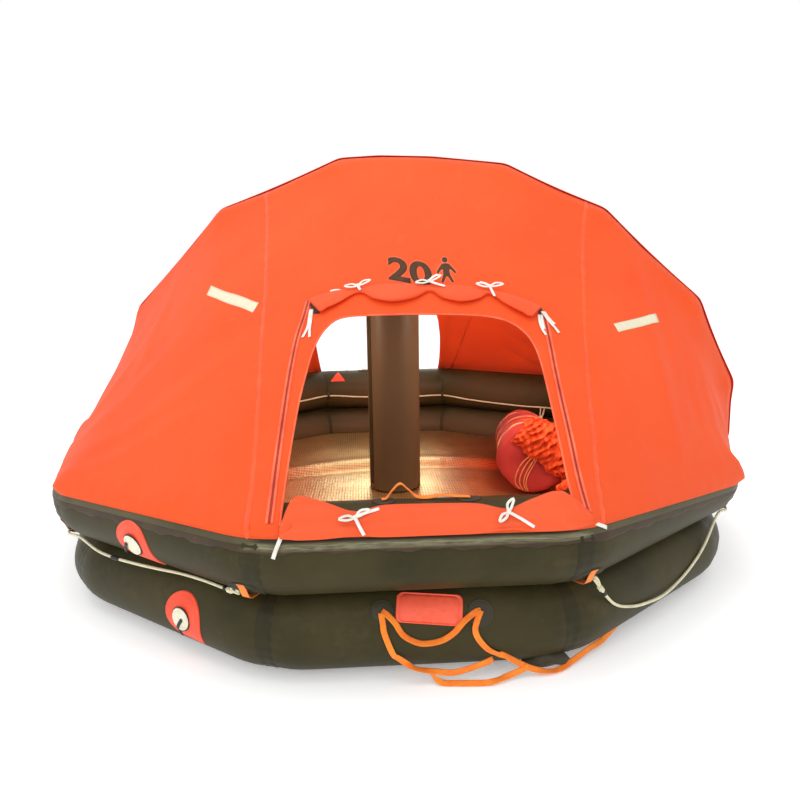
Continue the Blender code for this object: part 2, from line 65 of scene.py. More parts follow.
# Studio
# A plain pale floor under white surroundings, lit by large soft lamps from above and in front.
class Value:
    """One output of a shader node, on which Python's operators add Math nodes."""

    def __init__(self, finish, socket):
        self.finish, self.socket = finish, socket

    def __add__(self, other):
        return self.finish.maths("ADD", self, other)

    def __sub__(self, other):
        return self.finish.maths("SUBTRACT", self, other)

    def __rsub__(self, other):
        return self.finish.maths("SUBTRACT", other, self)

    def __mul__(self, other):
        return self.finish.maths("MULTIPLY", self, other)

    def __pow__(self, other):
        return self.finish.maths("POWER", self, other)

    def __gt__(self, other):
        return self.finish.maths("GREATER_THAN", self, other)

    __radd__, __rmul__ = __add__, __mul__


class Finish:
    """A material under way: its shader, and the nodes that feed it."""

    def __init__(self, name, **constants):
        self.material = bpy.data.materials.new(name)
        self.material.use_nodes = True
        self.tree = self.material.node_tree
        self.shader = self.tree.nodes["Principled BSDF"]
        for socket, value in constants.items():
            self.shader.inputs[socket.replace("_", " ")].default_value = value

    def node(self, kind, settings=(), sockets=(), output=0):
        """A node with these settings, then these socket values or links, and one of its outputs."""
        made = self.tree.nodes.new("ShaderNode" + kind)
        for name, value in dict(settings).items():
            if name == "stops":
                while len(made.color_ramp.elements) < len(value):
                    made.color_ramp.elements.new(0.5)
                for element, (position, colour) in zip(made.color_ramp.elements, value):
                    element.position, element.color = position, (*colour, 1)
            else:
                setattr(made, name, value)
        for name, value in dict(sockets).items():
            self.feed(made.inputs[name], value)
        return Value(self, made.outputs[output])

    def feed(self, socket, value):
        if isinstance(value, Value):
            self.tree.links.new(value.socket, socket)
        elif socket.type == "RGBA" and len(value) == 3:
            socket.default_value = (*value, 1)
        else:
            socket.default_value = value

    def maths(self, operation, *values):
        return self.node("Math", {"operation": operation}, dict(enumerate(values)))

    def wave(self, value):
        return self.maths("SINE", value)

    def between(self, value, low, high):
        """From 0 at low to 1 at high, and level beyond them."""
        return self.node("MapRange", sockets={"Value": value, "From Min": low, "From Max": high})

    def mix(self, share, first, second):
        return self.node("Mix", {"data_type": "RGBA"}, {0: share, 6: first, 7: second}, 2)

    def place(self):
        """The place in the raft, in metres."""
        return self.node("TexCoord", output=3)

    def laid(self):
        """The place on the cloth, in metres along and across it, from its UV map."""
        return self.node("UVMap", {"uv_map": "cloth"})

    def part(self, vector, axis):
        return self.node("SeparateXYZ", sockets={0: vector}, output=axis)

    def noise(self, where, scale, detail=3, rough=0.5, settings=(), output=0):
        sockets = {"Vector": where, "Scale": scale, "Detail": detail, "Roughness": rough}
        return self.node("TexNoise", settings, sockets, output)

    def weave(self, where, step):
        """Plain weave: threads this far apart both ways, from 0 to about 1."""
        across = self.wave(self.part(where, 0) * (math.pi / step))
        along = self.wave(self.part(where, 1) * (math.pi / step))
        return across * along * 0.5 + 0.5

    def bump(self, height, distance, strength=1.0, normal=None):
        sockets = {"Height": height, "Distance": distance, "Strength": strength}
        if normal is not None:
            sockets["Normal"] = normal
        return self.node("Bump", sockets=sockets)

    def done(self, colour=None, roughness=None, normal=None, metallic=None):
        given = {
            "Base Color": colour, "Roughness": roughness, "Normal": normal, "Metallic": metallic
        }
        for name, value in given.items():
            if value is not None:
                self.feed(self.shader.inputs[name], value)
        return self.material


def nothing_selected():
    if bpy.context.object and bpy.context.object.mode != "OBJECT":
        bpy.ops.object.mode_set(mode="OBJECT")
    bpy.ops.object.select_all(action="DESELECT")


def started(name):
    """The primitive that was just added, under its own name and placed in its mesh."""
    obj = bpy.context.object
    obj.name = obj.data.name = name
    bpy.ops.object.transform_apply(location=True, rotation=True, scale=True)
    return obj


def lamp(name, place, aim, size, power, colour=(1, 1, 1)):
    data = bpy.data.lights.new(name, "AREA")
    data.shape = "DISK"
    data.size, data.energy, data.color = size, power, colour
    obj = bpy.data.objects.new(name, data)
    obj.location = place
    obj.rotation_euler = (Vector(aim) - Vector(place)).to_track_quat("-Z", "Y").to_euler()
    bpy.context.scene.collection.objects.link(obj)


bpy.context.scene.view_settings.view_transform = "Standard"
world = bpy.data.worlds.new("surroundings")
world.use_nodes = True
world.node_tree.nodes["Background"].inputs["Color"].default_value = (1.0, 1.0, 1.0, 1)
world.node_tree.nodes["Background"].inputs["Strength"].default_value = 1.0
bpy.context.scene.world = world
nothing_selected()
bpy.ops.mesh.primitive_plane_add(size=60, location=(0, 0, -0.001))
ground = started("studio_floor")
pale = Finish("studio_floor", Roughness=0.85, Specular_IOR_Level=0.2, Emission_Strength=0.25)
pale.shader.inputs["Emission Color"].default_value = (1, 1, 1, 1)
speckle = pale.noise(pale.place(), 40.0, 4)
ground.data.materials.append(
    pale.done(colour=pale.mix(speckle, (0.96, 0.96, 0.96), (0.98, 0.98, 0.98)))
)
lamp("overhead", (-0.7, -1.5, 5.5), (-0.1, 0, 0.5), 4.0, 72)
lamp("front_fill", (-2.6, -5.5, 3.2), (0, -1, 0.6), 3.0, 40)
lamp("behind", (1.0, 5.5, 2.6), (0, 0, 0.4), 3.0, 60)
lamp("under_canopy_left", (-0.78, -0.42, 1.22), (-0.2, 0.9, 0.3), 0.40, 13, (1.0, 0.74, 0.60))
lamp("under_canopy_right", (0.78, -0.45, 1.30), (0.5, 0.9, 0.2), 0.40, 15, (1.0, 0.74, 0.60))
lamp("beside_bag", (0.90, -0.95, 0.98), (0.93, -0.3, 0.42), 0.30, 4.5, (1.0, 0.84, 0.76))


# Buoyancy tubes
# Two inflated tubes of dark olive rubber-coated cloth, one on the other. Each is glued up from ten
# straight lengths with mitred ends, and the cloth pulls into small puckers where they join.
TUBE_RADIUS = 0.165
TUBES = {"upper": (1.680, 0.4953), "lower": (1.630, 0.165)}
HALF_SIDE = math.tan(math.radians(18))
BLUNT = {"upper": 0.075, "lower": 0.120}
PINCH = {"upper": 0.030, "lower": 0.045}
PINCH_REACH, PUCKER_REACH, PUCKER_HIGH = 0.035, 0.055, 0.0014
TUBE_SKIN = 0.001


def unit(vectors):
    return vectors / np.maximum(np.linalg.norm(vectors, axis=-1, keepdims=True), 1e-9)


def bell(value, middle, reach):
    """From 1 at the middle down to nearly 0 at twice this reach."""
    return np.exp(-((value - middle) / reach) ** 2)


def sharp_line(place, apothem):
    """Points of the ten-sided centre line, with places counted in sides from the front."""
    side = np.floor(place + 0.5)
    turn = np.radians(36 * side)
    along = (place - side) * 2 * HALF_SIDE * apothem
    x = np.sin(turn) * apothem + np.cos(turn) * along
    y = -np.cos(turn) * apothem + np.sin(turn) * along
    return np.stack([x, y], axis=-1)


def around(turns):
    """Places on the ten sides for plan angles in degrees from the front, to the right."""
    side = np.floor((turns + 18) / 36)
    return side + np.tan(np.radians(turns - 36 * side)) / HALF_SIDE / 2


def from_corner(place, apothem):
    """How far a place on the sides is from the nearest mitre, in metres."""
    return (0.5 - np.abs(place - np.floor(place + 0.5))) * 2 * HALF_SIDE * apothem


def on_tube(tube, place, angle, clear=0.0):
    """Points over a tube's surface, by place on its sides and angle up from outwards."""
    apothem, z = TUBES[tube]
    place, angle = np.broadcast_arrays(np.asarray(place, float), np.asarray(angle, float))
    reach = BLUNT[tube] / (2 * HALF_SIDE * apothem)
    steps = np.linspace(-1, 1, 9)
    centre = sum(sharp_line(place + reach * step, apothem) for step in steps) / len(steps)
    run = sharp_line(place + reach, apothem) - sharp_line(place - reach, apothem)
    out = np.stack([run[..., 1], -run[..., 0]], axis=-1)
    out = unit(out)
    near = from_corner(place, apothem)
    turn = np.radians(angle)
    pucker = np.cos(turn * 23 + 3 * place) * bell(near, 0, PUCKER_REACH) * PUCKER_HIGH
    pinch = PINCH[tube] * bell(near, 0, PINCH_REACH)
    radius = (TUBE_RADIUS - TUBE_SKIN) * (1 - pinch) + pucker + clear
    flat = centre + out * (radius * np.cos(turn))[..., None]
    return np.concatenate([flat, (z + radius * np.sin(turn))[..., None]], axis=-1)


def grid_mesh(name, grid, loop_first=False, loop_second=False):
    """A smooth mesh over a grid of points, with a UV map in metres along and across it."""
    rows, columns = grid.shape[:2]
    first = np.arange(rows if loop_first else rows - 1)
    second = np.arange(columns if loop_second else columns - 1)
    i, j = np.meshgrid(first, second, indexing="ij")
    ring_i = np.stack([i, i + 1, i + 1, i], axis=-1)
    ring_j = np.stack([j, j, j + 1, j + 1], axis=-1)
    faces = (ring_i % rows) * columns + ring_j % columns
    mesh = bpy.data.meshes.new(name)
    mesh.from_pydata(grid.reshape(-1, 3).tolist(), [], faces.reshape(-1, 4).tolist())
    closed = np.concatenate([grid, grid[:1]]) if loop_first else grid
    closed = np.concatenate([closed, closed[:, :1]], axis=1) if loop_second else closed
    long = np.linalg.norm(np.diff(closed, axis=0), axis=-1).mean(axis=1)
    wide = np.linalg.norm(np.diff(closed, axis=1), axis=-1).mean(axis=0)
    lengths = np.meshgrid(np.r_[0, long.cumsum()], np.r_[0, wide.cumsum()], indexing="ij")
    uv = np.stack(lengths, axis=-1)
    mesh.uv_layers.new(name="cloth").data.foreach_set("uv", uv[ring_i, ring_j].reshape(-1))
    mesh.shade_smooth()
    obj = bpy.data.objects.new(name, mesh)
    bpy.context.scene.collection.objects.link(obj)
    return obj


def wall(obj, thickness, offset=1.0):
    """Gives a sheet its thickness, outwards for an offset of 1."""
    solid = obj.modifiers.new("wall", "SOLIDIFY")
    solid.thickness, solid.offset = thickness, offset
    solid.use_even_offset = False
    apply_all(obj)


def apply_all(obj):
    nothing_selected()
    bpy.context.view_layer.objects.active = obj
    for modifier in list(obj.modifiers):
        bpy.ops.object.modifier_apply(modifier=modifier.name)


def finished(obj, material, slot, *nodes):
    """The piece gets its material, rides on the raft and stands for its CAD nodes."""
    obj.data.materials.clear()
    obj.data.materials.append(material)
    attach(obj, "root")
    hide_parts(*nodes)
    return obj


def rubber(name, dark, light, dust, over=None):
    """Rubber-coated cloth: fine grain, soft stains, dust on top and paler rubbed spots."""
    made = Finish(name, Specular_IOR_Level=0.14)
    where = made.place()
    stain = made.noise(where, 2.3, 5, 0.6)
    rubbed = made.between(made.noise(where, 7.0, 6, 0.7), 0.56, 0.72)
    fine = made.noise(where, 260.0, 3)
    facing_up = made.part(made.node("NewGeometry", output=1), 2)
    dusty = made.between(facing_up, 0.25, 1.0) * made.between(stain, 0.35, 0.65)
    colour = made.mix(made.between(stain, 0.3, 0.7), dark, light)
    colour = made.mix(rubbed * 0.35, colour, dust)
    colour = made.mix(dusty * 0.30, colour, dust)
    if over:
        colour = over(made, colour)
    rough = stain * 0.25 + rubbed * 0.14 + 0.34
    grain = made.bump(fine, 0.0006, 0.5)
    crease = made.bump(made.noise(where, 16.0, 4, 0.55), 0.004, 0.35, grain)
    return made.done(colour=colour, roughness=rough, normal=crease)


def painted_cabin_light(made, colour):
    """Painted light: the sides of the tubes that face the cabin, and what stands inside them, are painted
    paler and browner than their outsides, for the warm light under the canopy.
    """
    where = made.place()
    x, y, z = (made.part(where, axis) for axis in range(3))
    inside = 1 - made.between((x * x + y * y) ** 0.5, 1.50, 1.62)
    return made.mix(inside * 0.85, colour, (0.102, 0.068, 0.036))


# The tubes' rubber carries the painted cabin light on its inner sides.
tube_rubber = rubber(
    "tube_rubber", (0.028, 0.024, 0.008), (0.054, 0.044, 0.015), (0.100, 0.082, 0.036), painted_cabin_light
)
half_side = np.array([-0.5, -0.47, -0.44, -0.41, -0.38, -0.35, -0.31, -0.26, -0.20, -0.10])
side_steps = np.concatenate([half_side, [0], -half_side[:0:-1]])
side_places = np.concatenate([side_steps + side for side in range(10)])
section_angles = np.linspace(-180, 180, 73)[:-1]
for tube in TUBES:
    grid = on_tube(tube, side_places[:, None], section_angles[None, :])
    body = grid_mesh(tube + "_buoyancy_tube", grid, True, True)
    finished(body, tube_rubber, "tube_rubber", tube + "_tube")


# Seam tapes
# A band of the same cloth is glued over each mitre of the tubes, to make it airtight. A strip of it
# joins the two tubes all round.
def joined(name, objects):
    """One piece made of all these objects."""
    nothing_selected()
    for obj in objects:
        obj.select_set(True)
    bpy.context.view_layer.objects.active = objects[0]
    if len(objects) > 1:
        bpy.ops.object.join()
    objects[0].name = objects[0].data.name = name
    return objects[0]


tape_rubber = rubber(
    "seam_tape_rubber", (0.022, 0.020, 0.008), (0.040, 0.034, 0.013), (0.090, 0.076, 0.036)
)
TAPE_HALF = 0.024
TAPE_EDGE = 0.0030 * np.array([0.1, 1, 0.8, 0.7, 0.8, 1, 0.1])
for tube, (apothem, _) in TUBES.items():
    reach = TAPE_HALF / (2 * HALF_SIDE * apothem)
    bands = []
    for corner in range(10):
        places = corner + 0.5 + reach * np.linspace(-1, 1, len(TAPE_EDGE))
        grid = on_tube(tube, places[:, None], section_angles[None, :], TAPE_EDGE[:, None])
        bands.append(grid_mesh(f"{tube}_band_{corner}", grid, False, True))
    finished(joined(tube + "_tube_seam_tapes", bands), tape_rubber, "tube_rubber")

JOINT_OUT, JOINT_LOW, JOINT_HIGH, JOINT_ROWS = 1.655, 0.302, 0.364, 5
CORNER_SOFT = 0.09
rise = np.linspace(JOINT_LOW, JOINT_HIGH, JOINT_ROWS)
soft_steps = np.linspace(-CORNER_SOFT, CORNER_SOFT, 9)
flat = sum(sharp_line(side_places + step, JOINT_OUT) for step in soft_steps) / len(soft_steps)
grid = np.concatenate([
    np.broadcast_to(flat[:, None], (len(flat), JOINT_ROWS, 2)),
    np.broadcast_to(rise[None, :, None], (len(flat), JOINT_ROWS, 1)),
], axis=-1)
joint = grid_mesh("tube_joint_strip", grid, True, False)
wall(joint, 0.003, 0.0)
finished(joint, tape_rubber, "tube_rubber")


# Arch tube
# One inflated tube bent over the raft in straight lengths, its feet on the upper tube. The canopy
# is stretched over it, so its bends show in the canopy's outline.
ARCH_SIDE = 72
ARCH_RADIUS = 0.138
ARCH_LOWEST, ARCH_WIDEST, ARCH_FOOT = 0.60, 1.76, 0.585
RIDGE_FOOT = [
    # (out along the arch, up) of the canopy's outer face beside each foot, from the hem up
    (1.862, 0.515), (1.880, 0.540), (1.897, 0.580), (1.894, 0.680), (1.892, 0.780),
]
RIDGE_TOP = [
    # the same over the arch, from the right leg's bend to the left one's
    (1.900, 0.885), (1.705, 1.320), (1.200, 1.805), (0.665, 2.062), (0.250, 2.122),
    (-0.060, 2.146), (-0.300, 2.146), (-1.090, 1.890), (-1.745, 1.290), (-1.875, 0.895),
]
RIDGE = RIDGE_FOOT + RIDGE_TOP + [(-out, up) for out, up in reversed(RIDGE_FOOT)]
RIDGE_DIP, DIPPING_RUN, RIDGE_POINTS, BEND_SOFT = 0.008, 0.45, 1401, 0.022
COVER_GAP = 0.152
UP = np.array([0, 0, 1])


def out_way(degrees):
    """The level direction at this angle in plan, from the front round to the right."""
    return np.array([math.sin(math.radians(degrees)), -math.cos(math.radians(degrees)), 0])


def side_way(degrees):
    """The level direction along a side that faces that way."""
    return np.array([math.cos(math.radians(degrees)), math.sin(math.radians(degrees)), 0])


def full_turn(count):
    return np.linspace(0, 2 * math.pi, count + 1)[:-1]


def lengths_along(line):
    return np.r_[0, np.linalg.norm(np.diff(line, axis=0), axis=1).cumsum()]


def at_lengths(line, where):
    """The points at these lengths along a line."""
    run = lengths_along(line)
    return np.stack([np.interp(where, run, column) for column in line.T], axis=1)


def smoothed(points, count, reach):
    """The line through the points as evenly spaced ones, its bends rounded over this reach."""
    points = np.array(points, float)
    even = np.linspace(0, lengths_along(points)[-1], count)
    line = at_lengths(points, even)
    step = even[-1] / (count - 1)
    half = max(1, int(3 * reach / step))
    weight = np.exp(-0.5 * (np.arange(-half, half + 1) * step / reach) ** 2)
    before, after = 2 * line[0] - line[half:0:-1], 2 * line[-1] - line[-2:-half - 2:-1]
    padded = np.concatenate([before, line, after])
    soft = [np.convolve(column, weight / weight.sum(), "valid") for column in padded.T]
    return even, np.stack(soft, axis=1)


def slack_between(points, depth):
    """Lets the longer straight runs of the ridge dip a little between its bends."""
    points = np.array(points, float)
    line = []
    for start, end in zip(points, points[1:]):
        run = end - start
        length = np.linalg.norm(run)
        inwards = np.array([run[1], -run[0]]) / length
        if np.dot(inwards, (start + end) / 2 - (0, 0.6)) > 0:
            inwards = -inwards
        for share in np.arange(0, 1, 0.01 / length):
            dip = depth * math.sin(math.pi * share) if length > DIPPING_RUN else 0
            line.append(start + run * share + inwards * dip)
    return line + [points[-1]]


def in_arch_plane(line, across=0.0):
    """Points of the arch's upright plane in the raft's own directions."""
    line = np.asarray(line)
    return ARCH_FORWARD * line[..., :1] + ARCH_ACROSS * across + UP * line[..., 1:]


def closed_up(obj):
    """Closes the open ends and turns all faces outwards."""
    mesh = bmesh.new()
    mesh.from_mesh(obj.data)
    bmesh.ops.holes_fill(mesh, edges=[e for e in mesh.edges if e.is_boundary], sides=0)
    bmesh.ops.recalc_face_normals(mesh, faces=mesh.faces[:])
    mesh.to_mesh(obj.data)
    mesh.free()


def sweep(name, line, radius, sides=16):
    """A round tube along the line, its radius one number or one for each point."""
    line = np.asarray(line, float)
    run = unit(np.gradient(line, axis=0))
    first = np.cross(run[0], (0, 0, 1) if abs(run[0][2]) < 0.9 else (1, 0, 0))
    frames = []
    for direction in run:
        first = unit(first - direction * np.dot(first, direction))
        frames.append((first, np.cross(direction, first)))
    one, two = np.array(frames).transpose(1, 0, 2)[:, :, None]
    turn = full_turn(sides)[None, :, None]
    ring = (one * np.cos(turn) + two * np.sin(turn)) * np.broadcast_to(radius, len(line))[:, None, None]
    obj = grid_mesh(name, line[:, None] + ring, False, True)
    closed_up(obj)
    return obj


ARCH_FORWARD, ARCH_ACROSS = out_way(ARCH_SIDE), side_way(ARCH_SIDE)
ridge_run, ridge_line = smoothed(slack_between(RIDGE, RIDGE_DIP), RIDGE_POINTS, BEND_SOFT)
tangent = unit(np.gradient(ridge_line, axis=0))
ridge_inwards = np.stack([-tangent[:, 1], tangent[:, 0]], axis=1)
inner_line = ridge_line + ridge_inwards * COVER_GAP
shown = (inner_line[:, 1] > ARCH_LOWEST) & (np.abs(inner_line[:, 0]) < ARCH_WIDEST)
arch_line = inner_line[shown][::12]
feet = [[(arch_line[end][0], ARCH_FOOT)] for end in (0, -1)]
arch_line = np.concatenate([feet[0], arch_line, feet[1]])
arch = sweep("arch_tube_cloth", in_arch_plane(arch_line), ARCH_RADIUS, 40)
finished(arch, tube_rubber, "tube_rubber", "arch_tube")


# Canopy
# Two halves of orange-red coated cloth meet over the arch, each sewn from three panels. They are
# glued to the upper tube and stretched by the arch, so the cloth curves in between and creases.
HEM = [
    # (plan angle from the front, angle up round the upper tube) of the front half's edge
    (-108, 8), (-90, 8), (-54, 22), (-18, 34), (18, 31), (54, 3), (72, 8),
]
SEAMS = [
    # (plan angle at the hem, place on the ridge) where a line up the cloth starts and ends
    (-108, None), (-90, (-1.875, 0.895)), (-54, (-1.745, 1.290)), (-18, (-0.78, 2.0)),
    (19.3, (1.10, 1.86)), (54, (1.705, 1.320)), (72, None),
]
CLOTH_CLEAR = 0.005
ARCH_REACH, TUBE_REACH = COVER_GAP - 0.006, TUBE_RADIUS + CLOTH_CLEAR - 0.002
COLUMNS, ROWS, COARSE = 361, 121, 6
ACROSS_PULL, COARSE_ROUNDS, FINE_ROUNDS = 0.12, 500, 40


def hem_angle(place):
    """How far up round the upper tube the canopy's edge is glued."""
    out_angles, hem_angles = np.array(HEM, float).T
    return np.interp(place, around(out_angles), hem_angles)


def pushed_out(points, arch_under):
    """Moves points that lie inside the arch tube or the upper tube out to just over them."""
    spots = points.reshape(-1, 3).copy()
    flat = np.stack([spots @ ARCH_FORWARD, spots[:, 2]], axis=1)
    across = spots @ ARCH_ACROSS
    best, near = np.full(len(spots), 9.0), np.zeros((len(spots), 2))
    for start, end in zip(arch_under, arch_under[1:]):
        run = end - start
        share = np.clip((flat - start) @ run / (run @ run), 0, 1)
        foot = start + share[:, None] * run
        away = np.hypot(np.linalg.norm(flat - foot, axis=1), across)
        closer = away < best
        best[closer], near[closer] = away[closer], foot[closer]
    inside = best < ARCH_REACH
    grow = (ARCH_REACH / np.maximum(best, 1e-6))[inside, None]
    moved = near[inside] + (flat[inside] - near[inside]) * grow
    spots[inside] = moved[:, :1] * ARCH_FORWARD + (across[inside, None] * grow) * ARCH_ACROSS
    spots[inside, 2] = moved[:, 1]
    place = around(np.degrees(np.arctan2(spots[:, 0], -spots[:, 1])))
    apothem, z = TUBES["upper"]
    side = np.radians(36 * np.floor(place + 0.5))
    out = np.stack([np.sin(side), -np.cos(side)], axis=1)
    reach = (spots[:, :2] * out).sum(axis=1) - apothem
    rise = spots[:, 2] - z
    away = np.hypot(reach, rise)
    inside = away < TUBE_REACH
    grow = TUBE_REACH / np.maximum(away, 1e-6)
    spots[inside, :2] += out[inside] * (reach * (grow - 1))[inside, None]
    spots[inside, 2] += (rise * (grow - 1))[inside]
    return spots.reshape(points.shape)


def stretched(grid, rounds, arch_under):
    """Pulls the cloth taut between its edges, more up and down it than across."""
    for step in range(rounds):
        sideways = grid[:-2, 1:-1] + grid[2:, 1:-1]
        upwards = grid[1:-1, :-2] + grid[1:-1, 2:]
        grid[1:-1, 1:-1] = (ACROSS_PULL * sideways + upwards) / (2 * ACROSS_PULL + 2)
        if step % 4 == 3 or step == rounds - 1:
            grid[1:-1, 1:-1] = pushed_out(grid[1:-1, 1:-1], arch_under)
    return grid


def canopy_half(ridge, arch_under):
    """A grid over half the raft, from the left to the right and from the hem up to the ridge."""
    mates = [0]
    for _, spot in SEAMS[1:-1]:
        mates.append(ridge_run[np.argmin(np.linalg.norm(ridge - spot, axis=1))])
    mates.append(ridge_run[-1])
    starts = around(np.array([turn for turn, _ in SEAMS], float))
    edge = on_tube("upper", starts, 10)
    lengths = np.linalg.norm(np.diff(edge, axis=0), axis=1)
    lines = np.r_[0, ((lengths + np.diff(mates)) / 2).cumsum()]
    lines /= lines[-1]
    across = np.linspace(0, 1, COLUMNS)
    at_ridge = np.interp(across, lines, mates)
    top = in_arch_plane(np.stack([np.interp(at_ridge, ridge_run, line) for line in ridge.T], axis=1))
    place = np.interp(across, lines, starts)
    hem = on_tube("upper", place, hem_angle(place), CLOTH_CLEAR)
    up = np.linspace(0, 1, ROWS)[None, :, None]
    ruled = hem[:, None] * (1 - up) + top[:, None] * up
    coarse = stretched(ruled[::COARSE, ::COARSE].copy(), COARSE_ROUNDS, arch_under)
    fine = np.empty_like(ruled)
    spread = np.empty((coarse.shape[0], ROWS, 3))
    for axis in range(3):
        for row in range(coarse.shape[0]):
            spread[row, :, axis] = np.interp(up.ravel(), up.ravel()[::COARSE], coarse[row, :, axis])
        for column in range(ROWS):
            fine[:, column, axis] = np.interp(across, across[::COARSE], spread[:, column, axis])
    fine[0], fine[-1], fine[:, 0], fine[:, -1] = ruled[0], ruled[-1], hem, top
    seam_columns = [int(round(line * (COLUMNS - 1))) for line in lines]
    return stretched(fine, FINE_ROUNDS, arch_under), seam_columns


def spline(points, count):
    """Evenly spaced points of a smooth curve through these ones."""
    points = np.array(points, float)
    ends = np.concatenate([[2 * points[0] - points[1]], points, [2 * points[-1] - points[-2]]])
    share = np.linspace(0, 1, 24)[:-1, None]
    line = []
    for a, b, c, d in zip(ends, ends[1:], ends[2:], ends[3:]):
        bend = (2 * a - 5 * b + 4 * c - d) * share ** 2 + (3 * b - a - 3 * c + d) * share ** 3
        line.append(b + 0.5 * ((c - a) * share + bend))
    line = np.concatenate(line + [points[-1:]])
    return at_lengths(line, np.linspace(0, lengths_along(line)[-1], count))


def facing(grid):
    """The cloth's outward direction at each point of the grid."""
    return unit(np.cross(np.gradient(grid, axis=0), np.gradient(grid, axis=1)))


FOLDS = [
    # (share across, share up) where a fold starts and ends, its width and height
    (0.11, 0.03, 0.20, 0.85, 0.008, 0.008), (0.125, 0.03, 0.26, 0.88, 0.010, -0.006),
    (0.14, 0.03, 0.30, 0.72, 0.009, 0.008), (0.16, 0.04, 0.37, 0.62, 0.010, 0.007),
    (0.18, 0.04, 0.44, 0.46, 0.009, 0.006), (0.22, 0.03, 0.40, 0.30, 0.007, 0.005),
    (0.31, 0.94, 0.27, 0.40, 0.010, 0.007), (0.37, 0.94, 0.41, 0.35, 0.012, -0.006),
    (0.45, 0.92, 0.43, 0.30, 0.008, 0.005), (0.485, 0.85, 0.480, 0.10, 0.006, 0.005),
    (0.53, 0.95, 0.56, 0.72, 0.008, 0.004), (0.66, 0.95, 0.64, 0.72, 0.008, 0.004),
    (0.715, 0.80, 0.720, 0.10, 0.006, 0.005), (0.77, 0.92, 0.80, 0.30, 0.010, 0.006),
    (0.80, 0.06, 0.79, 0.62, 0.008, 0.007), (0.835, 0.06, 0.83, 0.70, 0.009, -0.006),
    (0.87, 0.05, 0.86, 0.66, 0.008, 0.007), (0.92, 0.05, 0.87, 0.60, 0.008, 0.006),
    (0.06, 0.80, 0.10, 0.10, 0.010, 0.006), (0.94, 0.80, 0.95, 0.15, 0.010, 0.006),
]


FOLD_TALL = 0.35


def creased(grid, lines, folds):
    """Raises the cloth along its folds, along its seams and in slow waves between them."""
    across, up = np.meshgrid(np.linspace(0, 1, COLUMNS), np.linspace(0, 1, ROWS), indexing="ij")
    lift = 0.0035 * np.sin(across * 41 + 5 * up) * np.sin(up * 9 + 13 * across)
    lift += 0.0020 * np.sin(across * 97 - 11 * up + 2) * np.sin(up * 17 + 29 * across)
    for x0, y0, x1, y1, width, height in folds:
        start, run = np.array([x0, y0 * FOLD_TALL]), np.array([x1 - x0, (y1 - y0) * FOLD_TALL])
        spot = np.stack([across, up * FOLD_TALL], axis=-1) - start
        share = np.clip(spot @ run / (run @ run), 0, 1)
        away = np.linalg.norm(spot - share[..., None] * run, axis=-1)
        swell = np.sin(math.pi * np.clip(share, 0.02, 0.98)) ** 0.7
        lift += height * swell * bell(away, 0, width)
    for column in (lines[3], lines[4]):
        near = np.abs(across * (COLUMNS - 1) - column) * 0.014
        lift += 0.0016 * np.sin(up * 190 + 3 * np.sin(up * 31)) * np.exp(-near / 0.05)
        lift -= 0.0025 * bell(near, 0, 0.012)
    lift += 0.0018 * np.sin(across * 380) * np.exp(-up / 0.03)
    edge = np.minimum(1, np.minimum(up, 1 - up) / 0.02)
    return grid + facing(grid) * (lift * edge)[..., None]


def fabric(name, colour, deep, pale, weave_step=0.0011):
    """Coated woven cloth that lets some light through, with rubbed pale creases and stains."""
    made = Finish(name, Sheen_Weight=0.06, Sheen_Roughness=0.5, Specular_IOR_Level=0.24)
    where, laid = made.place(), made.laid()
    stain = made.noise(where, 1.7, 5, 0.6)
    small = made.noise(where, 22.0, 4, 0.6)
    stretched_noise = made.node("Mapping", sockets={0: where, 3: (5.0, 5.0, 0.7)})
    streak = made.between(made.noise(stretched_noise, 4.0, 5, 0.65), 0.60, 0.78)
    tint = made.mix(made.between(stain, 0.30, 0.72), deep, colour)
    tint = made.mix(streak * 0.35, tint, pale)
    tint = made.mix(made.between(small, 0.62, 0.80) * 0.20, tint, deep)
    rough = small * 0.2 + 0.50
    threads = made.bump(made.weave(laid, weave_step), 0.0003, 0.25)
    crumple = made.bump(made.noise(where, 9.0, 5, 0.6), 0.006, 0.30, threads)
    made.done(colour=tint, roughness=rough, normal=crumple)
    through = (0.85 * colour[0], 0.8 * colour[1] + 0.11, 0.8 * colour[2] + 0.075)
    glow = made.node("BsdfTranslucent", sockets={"Color": through})
    both = made.node("MixShader", sockets={0: 0.27, 1: Value(made, made.shader.outputs[0]), 2: glow})
    made.feed(made.tree.nodes["Material Output"].inputs["Surface"], both)
    return made.material


canopy_cloth = fabric("canopy_cloth", (1.0, 0.124, 0.020), (0.97, 0.100, 0.014), (1.0, 0.21, 0.075))
DOOR = [
    # (sideways, up) round the doorway as seen from in front, from its right foot to its left one
    (0.557, 0.600), (0.562, 0.700), (0.568, 0.800), (0.573, 0.930), (0.574, 1.040), (0.570, 1.120),
    (0.553, 1.180), (0.520, 1.222), (0.470, 1.255), (0.400, 1.276), (0.300, 1.286), (0.150, 1.292),
    (0.000, 1.293), (-0.150, 1.290), (-0.240, 1.286), (-0.300, 1.271), (-0.345, 1.238),
    (-0.378, 1.195), (-0.405, 1.135), (-0.426, 1.060), (-0.447, 0.970), (-0.463, 0.860),
    (-0.474, 0.760), (-0.480, 0.680), (-0.482, 0.600),
]
HALVES = {
    "front": (ridge_line[::-1], arch_line),
    "rear": (ridge_line * (-1, 1), arch_line * (-1, 1)),
}
CLOTH_THICK = 0.0016
PUNCH_FROM, PUNCH_DEEP = -2.3, 1.75
DOORWAY_AREA = 0.95
door_line = spline(DOOR, 90)


